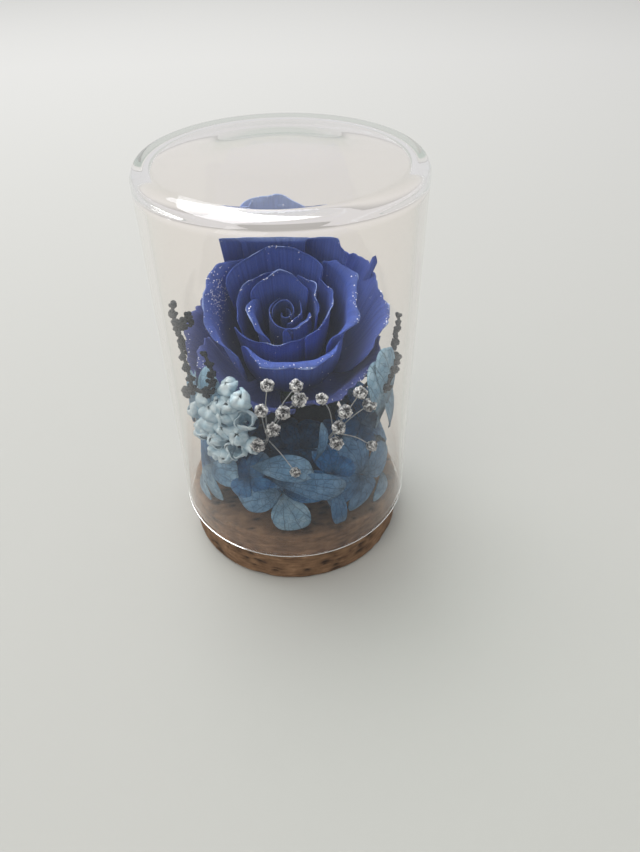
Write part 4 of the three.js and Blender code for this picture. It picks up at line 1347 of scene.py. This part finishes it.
def crumpled_blossom(draw):
    """A ball of unit radius, crumpled in sharp folds, with a sunken middle and a cup under it."""
    points, faces = turned(arc(0, 0, 1, -90, 90, BLOSSOM_RINGS), BLOSSOM_SIDES)
    shift = Vector(draw.uniform(0, 50, 3))
    middle = Vector((0.15, 0.1, 1))
    painted_light_shares = []
    for number, point in enumerate(points):
        way = Vector(point).normalized()
        fold = 1 - 2.2 * abs(noise.noise(way * 2.2 + shift))
        fold += 0.6 - 1.5 * abs(noise.noise(way * 5.5 - shift))
        sunk = math.exp(-((way.angle(middle) / 0.5) ** 2))
        lobe = 0.03 * math.cos(5 * math.atan2(way.y, way.x) + shift.x) * (1 - way.z**2)
        points[number] = np.array(way) * (0.68 + 0.26 * fold + lobe) * (1 - 0.5 * sunk)
        # painted light: ridges lighter as painted highlight, creases and the sunken middle darker as
        # painted shade
        painted_light_shares.append(min(1.0, max(0.0, 0.62 * fold - 0.5 * sunk)))
    cup, cup_faces = turned(BLOSSOM_CUP, CUP_SIDES)
    painted_light_shares += [0.3] * len(cup)
    return *joined([(points, faces), (cup, cup_faces)]), {"along": np.array(painted_light_shares)}


def silvered_material():
    """Silver-sprayed dried petal: crinkled, with painted highlights as small bright glints and painted
    shade in dark grey folds.
    """
    material, tree = new_material("silver-sprayed petal")
    place = add_node(tree, "ShaderNodeTexCoord").outputs["Object"]
    along = add_node(tree, "ShaderNodeAttribute", attribute_name="along").outputs["Fac"]
    crinkled = {"Vector": place, "Scale": grain(CRINKLE), "Detail": 3, "Roughness": 0.7}
    crinkle = add_node(tree, "ShaderNodeTexNoise", crinkled).outputs["Fac"]
    spread = {0: crinkle, 1: 0.9, 2: -0.45}
    tone = add_node(tree, "ShaderNodeMath", spread, operation="MULTIPLY_ADD")
    # along carries the painted light of the crumpled ball: painted shade in the folds, painted
    # highlight on the ridges
    lit = add_node(tree, "ShaderNodeMath", {0: along, 1: tone.outputs[0]}, operation="ADD")
    shader = {
        "Base Color": ramp(tree, lit.outputs[0], GYPSOPHILA_SILVER_AND_PAINTED_LIGHT, (0.14, 0.45, 0.78)),
        "Metallic": 0.25,
        "Roughness": 0.3,
    }
    finish_material(tree, shader, crinkle, 1.0, 0.3)
    return material


def add_gypsophila():
    draw = np.random.default_rng(GYPSOPHILA_SEED)
    petal = silvered_material()
    stalk = leaf_material("silvered stalk", GYPSOPHILA_STALK, 0.4)
    shapes = [crumpled_blossom(draw) for _ in range(3)]
    for name, (shank, fork, rows) in GYPSOPHILA.items():
        fork = around(*fork)
        places = np.array([around(*row[:3]) for row in rows])
        turns = [outlook(fork, at, draw.uniform(0, 6)) for at in places]
        sizes = [row[3] for row in rows]
        stalk_radii = (GYPSOPHILA_ROUTE_RADII, GYPSOPHILA_STALK_RADIUS)
        routes = spray_stalks(shank, fork, places, *stalk_radii)
        blossoms = placed(name + "_blossoms", shapes, places, turns, sizes, petal, GYPSOPHILA_SEED)
        for piece in (blossoms, grown_stalks(name + "_stalks", routes, stalk)):
            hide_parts(name)
            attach(piece, "root")


add_gypsophila()

# ---- Dark sprays ----
# Two branched sprays of small dark seed heads behind the rose. The branchlets are knobbly, nearly
# black, and hug the glass.

# Each spray: its shank's bearing, height and rise, then the route of each of its branchlets, by
# bearing, distance from the bottle's axis and height.
DARK_SPRAYS = {
    "dark_spray_left": (
        (-104, 33, 45),
        (
            ((-107, 24.4, 43), (-94, 27.6, 58), (-74, 27.9, 72), (-70, 27.9, 79)),
            ((-74, 27.9, 72), (-58, 28, 76), (-47, 28, 80.5)),
            (
                (-107, 24.4, 43), (-93, 28, 46), (-76, 28, 51),
                (-58, 27.9, 58), (-61, 27.8, 63.5), (-72, 27.8, 67.5),
            ),
            ((-58, 27.8, 58), (-45, 27.9, 60.5), (-38.5, 27.9, 66.5), (-42, 27.9, 72)),
        ),
    ),
    "dark_spray_right": (
        (101, 33, 45),
        (
            ((106, 24, 43), (94, 27.6, 55), (85, 27.9, 65), (82, 27.9, 70)),
            ((94, 27.6, 55), (76, 27.9, 58.5), (62, 27.9, 58.5), (53, 27.9, 55.5)),
        ),
    ),
}
DARK_ROUTE_RADII = (0.6, 0.55, 0.5)
DARK_BRANCH_RADII = (0.5, 0.35)  # at the start and the end of a branchlet
SEED_HEAD_SPACING = 1.35  # along a branchlet
SEED_HEAD_SIZE = 1.15
SEED_HEAD_ASIDE = 0.7  # how far it sits beside its branchlet, on either side by turns
SEED_LUMPS = 6
SEED_LUMP_SIDE = ((0, -1), (0.75, -0.55), (0.95, 0.15), (0.55, 0.8), (0, 1))
SEED_LUMP_SIDES = 6
SEED_HEAD_SEED = 5
DARK_COLOURS = ("#04060a", "#0e141b", "#1f2830")
DARK_STALK = ("#07090d", "#12181d", "#252d33")


def seed_head(draw):
    """A knobbly cluster of unit radius: a few lumps round a middle."""
    lumps = []
    for _ in range(SEED_LUMPS):
        points, faces = turned(SEED_LUMP_SIDE, SEED_LUMP_SIDES)
        size = draw.uniform(0.4, 0.62)
        place = draw.normal(size=3)
        place *= 0.52 / np.linalg.norm(place)
        angle, axis = draw.uniform(0, 3), Vector(draw.normal(size=3)).normalized()
        turn = np.array(Matrix.Rotation(angle, 3, axis))
        lumps.append(((points * size) @ turn.T + place, faces))
    points, faces = joined(lumps)
    return points, faces, {"along": np.linalg.norm(points, axis=1)}


def heads_along(route, draw):
    """Seed heads spaced along a branchlet: the place, turn and size of each."""
    heads = []
    run = np.concatenate([[0], np.cumsum(np.linalg.norm(np.diff(route, axis=0), axis=1))])
    for number, at in enumerate(np.arange(run[-1] / 3, run[-1] + 0.1, SEED_HEAD_SPACING)):
        middle = np.array([np.interp(at, run, route[:, k]) for k in range(3)])
        out = np.array([middle[0], middle[1], 0]) / math.hypot(*middle[:2])
        beside = np.cross(route[-1] - route[0], out)
        beside *= SEED_HEAD_ASIDE * (-1) ** number / np.linalg.norm(beside)
        turn = draw.uniform(0, 6, 3)
        heads.append((middle + beside, turn, SEED_HEAD_SIZE * draw.uniform(0.75, 1.1)))
    return heads


def add_dark_sprays():
    draw = np.random.default_rng(SEED_HEAD_SEED)
    material = petal_material("dark dried seed head", DARK_COLOURS, 0.85)
    stalk = leaf_material("dark dried stalk", DARK_STALK)
    shapes = [seed_head(draw) for _ in range(3)]
    for name, (shank, branches) in DARK_SPRAYS.items():
        inner, exit_point = shank_ends(*shank)
        routes = [([inner, exit_point, around(*branches[0][0])], DARK_ROUTE_RADII)]
        heads = []
        for branch in branches:
            route = smooth_route([around(*point) for point in branch], 10)
            routes.append((route, np.linspace(*DARK_BRANCH_RADII, len(route))))
            heads += heads_along(route, draw)
        places, turns, sizes = zip(*heads)
        spray = placed(name + "_heads", shapes, places, turns, sizes, material, SEED_HEAD_SEED)
        for piece in (spray, grown_stalks(name + "_stalks", routes, stalk)):
            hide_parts(name)
            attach(piece, "root")


add_dark_sprays()

# ---- Glass bottle ----
# A straight-sided bottle of clear blown glass, pushed over the flowers mouth down. Its closed end is
# thicker and slightly dished, its rim is fire-polished, and it sits on the cork's step.

BOTTLE_MOUTH = 11.3  # height of the rim
BOTTLE_TOP = 108.0
BOTTLE_CROWN = 2.8  # thickness of the closed end
BOTTLE_SHOULDER = 3.0  # rounding of the closed end's edge outside
BOTTLE_CORNER = 3.3  # and inside
BOTTLE_DIMPLE = 15.5  # radius of the dish half way down its slope
BOTTLE_DISH = 0.15  # its depth
BOTTLE_SLOPE = 8.0  # how wide its sloping border is
BOTTLE_BEAD = 0.12  # how far the fire-polished rim stands proud of the wall
BEAD_FADE = 2.0  # over how much height it runs out into the wall
BOTTLE_SIDES = 256
GLASS_IOR = 1.47
GLASS_TINT = "#fffcfa"
GLASS_GLOSS = "#cfd6e4"
GLASS_SHADE = "#f2f6f4"  # of the light that falls through the glass
GLASS_TURNS = 4.5  # past this many bounces light goes straight through


def glass_material():
    """Clear soda glass: polished and nearly colourless. Light passes it to reach the flowers."""
    material, tree = new_material("clear soda glass")
    glass = add_node(
        tree,
        "ShaderNodeBsdfPrincipled",
        {
            "Base Color": linear(GLASS_TINT),
            "Roughness": 0.0,
            "IOR": GLASS_IOR,
            "Specular Tint": linear(GLASS_GLOSS),
            "Transmission Weight": 1.0,
        },
    )
    clear = add_node(tree, "ShaderNodeBsdfTransparent", {"Color": linear(GLASS_SHADE)})
    path = add_node(tree, "ShaderNodeLightPath").outputs
    bounced = {0: path["Ray Depth"], 1: GLASS_TURNS}
    long = add_node(tree, "ShaderNodeMath", bounced, operation="GREATER_THAN")
    straight = {0: path["Is Shadow Ray"], 1: long.outputs[0]}
    passed = add_node(tree, "ShaderNodeMath", straight, operation="MAXIMUM")
    either = {0: passed.outputs[0], 1: glass.outputs[0], 2: clear.outputs[0]}
    mixed = add_node(tree, "ShaderNodeMixShader", either)
    add_node(tree, "ShaderNodeOutputMaterial", {"Surface": mixed.outputs[0]})
    return material


def add_bottle():
    inside = BOTTLE_RADIUS - BOTTLE_WALL
    ceiling = BOTTLE_TOP - BOTTLE_CROWN
    lip = BOTTLE_WALL / 2
    bead = lip + BOTTLE_BEAD
    rim = BOTTLE_RADIUS - lip, BOTTLE_MOUTH + lip
    outline = [(0, ceiling)]
    outline += arc(inside - BOTTLE_CORNER, ceiling - BOTTLE_CORNER, BOTTLE_CORNER, 90, 0, 12)
    outline += arc(*rim, lip, -180, -90, 8)
    outline += arc(*rim, bead, -70, 20, 10)
    for share in np.linspace(0.2, 1, 7):
        fall = BOTTLE_BEAD * (1 - share) ** 2
        outline.append((BOTTLE_RADIUS + fall, rim[1] + 0.4 + BEAD_FADE * share))
    edge = BOTTLE_RADIUS - BOTTLE_SHOULDER, BOTTLE_TOP - BOTTLE_SHOULDER
    outline += arc(*edge, BOTTLE_SHOULDER, 0, 90, 14)
    for share in np.linspace(0, 1, 13):
        r = BOTTLE_DIMPLE + BOTTLE_SLOPE * (0.5 - share)
        outline.append((r, BOTTLE_TOP - BOTTLE_DISH * share * share * (3 - 2 * share)))
    outline.append((0, BOTTLE_TOP - BOTTLE_DISH))
    points, faces = turned(outline, BOTTLE_SIDES)
    piece = make_piece("glass_bottle_clear", points, faces, glass_material())
    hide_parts("glass_bottle")
    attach(piece, "root")


add_bottle()

# ---- Floor, light and camera ----
# The bottle stands on a plain pale floor in soft daylight from a large window behind it on the left,
# and is seen from the front and above.

CAMERA_PLACE = (0.0, -147.97, 156.84)
CAMERA_DOWN = math.radians(40.48)  # how far it looks down, and then to the right
CAMERA_RIGHT = math.radians(3.01)
CAMERA_ROLL = math.radians(-0.673)
CAMERA_LENS = 28.29
FLOOR_HALF = 3000.0  # half the sheet's side
FLOOR_PAINTED_LIGHT = ("#b8b8b2", "#c9c8c4")  # near and far: painted light, darker near and brighter far, where the window light falls
FLOOR_PAINTED_LIGHT_RANGE = (-100.0, 600.0)  # how far back the near and the far painted light lie
SKY_COLOUR = "#f3f4f6"
SKY_STRENGTH = 0.8

# Each light: its place, what it points at and its size in metres, its power in watts and colour.
LIGHTS = {
    "window": ((-0.35, 0.55, 1.15), (0, 0.1, 0), (1, 0.8), 11.0, "#fbfcff"),
    "room": ((-0.35, -0.35, 0.7), (0, 0, 0.05), (0.4, 0.4), 1.1, "#fff8ee"),
}


def floor_material():
    """A matt pale sheet, with painted light: a little brighter towards the back, under the window."""
    material, tree = new_material("matt pale sheet")
    place = add_node(tree, "ShaderNodeTexCoord").outputs["Object"]
    depth = add_node(tree, "ShaderNodeSeparateXYZ", {"Vector": place}).outputs["Y"]
    near, far = (distance * MM for distance in FLOOR_PAINTED_LIGHT_RANGE)
    # painted light: the sheet brightens towards the back
    back = add_node(tree, "ShaderNodeMapRange", {0: depth, 1: near, 2: far})
    shader = {"Base Color": ramp(tree, back.outputs[0], FLOOR_PAINTED_LIGHT), "Roughness": 0.9}
    finish_material(tree, shader)
    return material


def add_light(name, place, target, size, power, colour):
    """A square or oblong lamp, as soft as it is large."""
    lamp = bpy.data.lights.new(name, "AREA")
    lamp.shape = "RECTANGLE"
    lamp.size, lamp.size_y = size
    lamp.energy = power
    lamp.color = linear(colour)[:3]
    holder = add_object(name, lamp)
    holder.location = place
    holder.rotation_euler = (Vector(target) - Vector(place)).to_track_quat("-Z", "Y").to_euler()


def add_surroundings():
    corners = [(x * FLOOR_HALF, y * FLOOR_HALF, 0) for x, y in ((-1, -1), (1, -1), (1, 1), (-1, 1))]
    mesh = make_mesh("floor", corners, (), [(0, 1, 2, 3)])
    mesh.materials.append(floor_material())
    add_object("floor", mesh)
    world = bpy.data.worlds.new("soft daylight")
    world.use_nodes = True
    sky = world.node_tree.nodes["Background"]
    sky.inputs["Color"].default_value = linear(SKY_COLOUR)
    sky.inputs["Strength"].default_value = SKY_STRENGTH
    bpy.context.scene.world = world
    for name, settings in LIGHTS.items():
        add_light(name, *settings)


def add_camera():
    camera = bpy.data.cameras.new("camera")
    camera.lens = CAMERA_LENS
    camera.clip_start = 0.005
    flat = math.cos(CAMERA_DOWN)
    ahead = Vector(
        (math.sin(CAMERA_RIGHT) * flat, math.cos(CAMERA_RIGHT) * flat, -math.sin(CAMERA_DOWN))
    )
    right = ahead.cross(Vector((0, 0, 1))).normalized()
    up = right.cross(ahead)
    rolled = right * math.cos(CAMERA_ROLL) + up * math.sin(CAMERA_ROLL)
    raised = up * math.cos(CAMERA_ROLL) - right * math.sin(CAMERA_ROLL)
    place = Matrix((rolled, raised, -ahead)).transposed().to_4x4()
    place.translation = Vector(CAMERA_PLACE) * MM
    holder = add_object("camera", camera)
    holder.matrix_world = place
    bpy.context.scene.camera = holder


add_surroundings()
add_camera()
bpy.context.scene.view_settings.view_transform = "Standard"
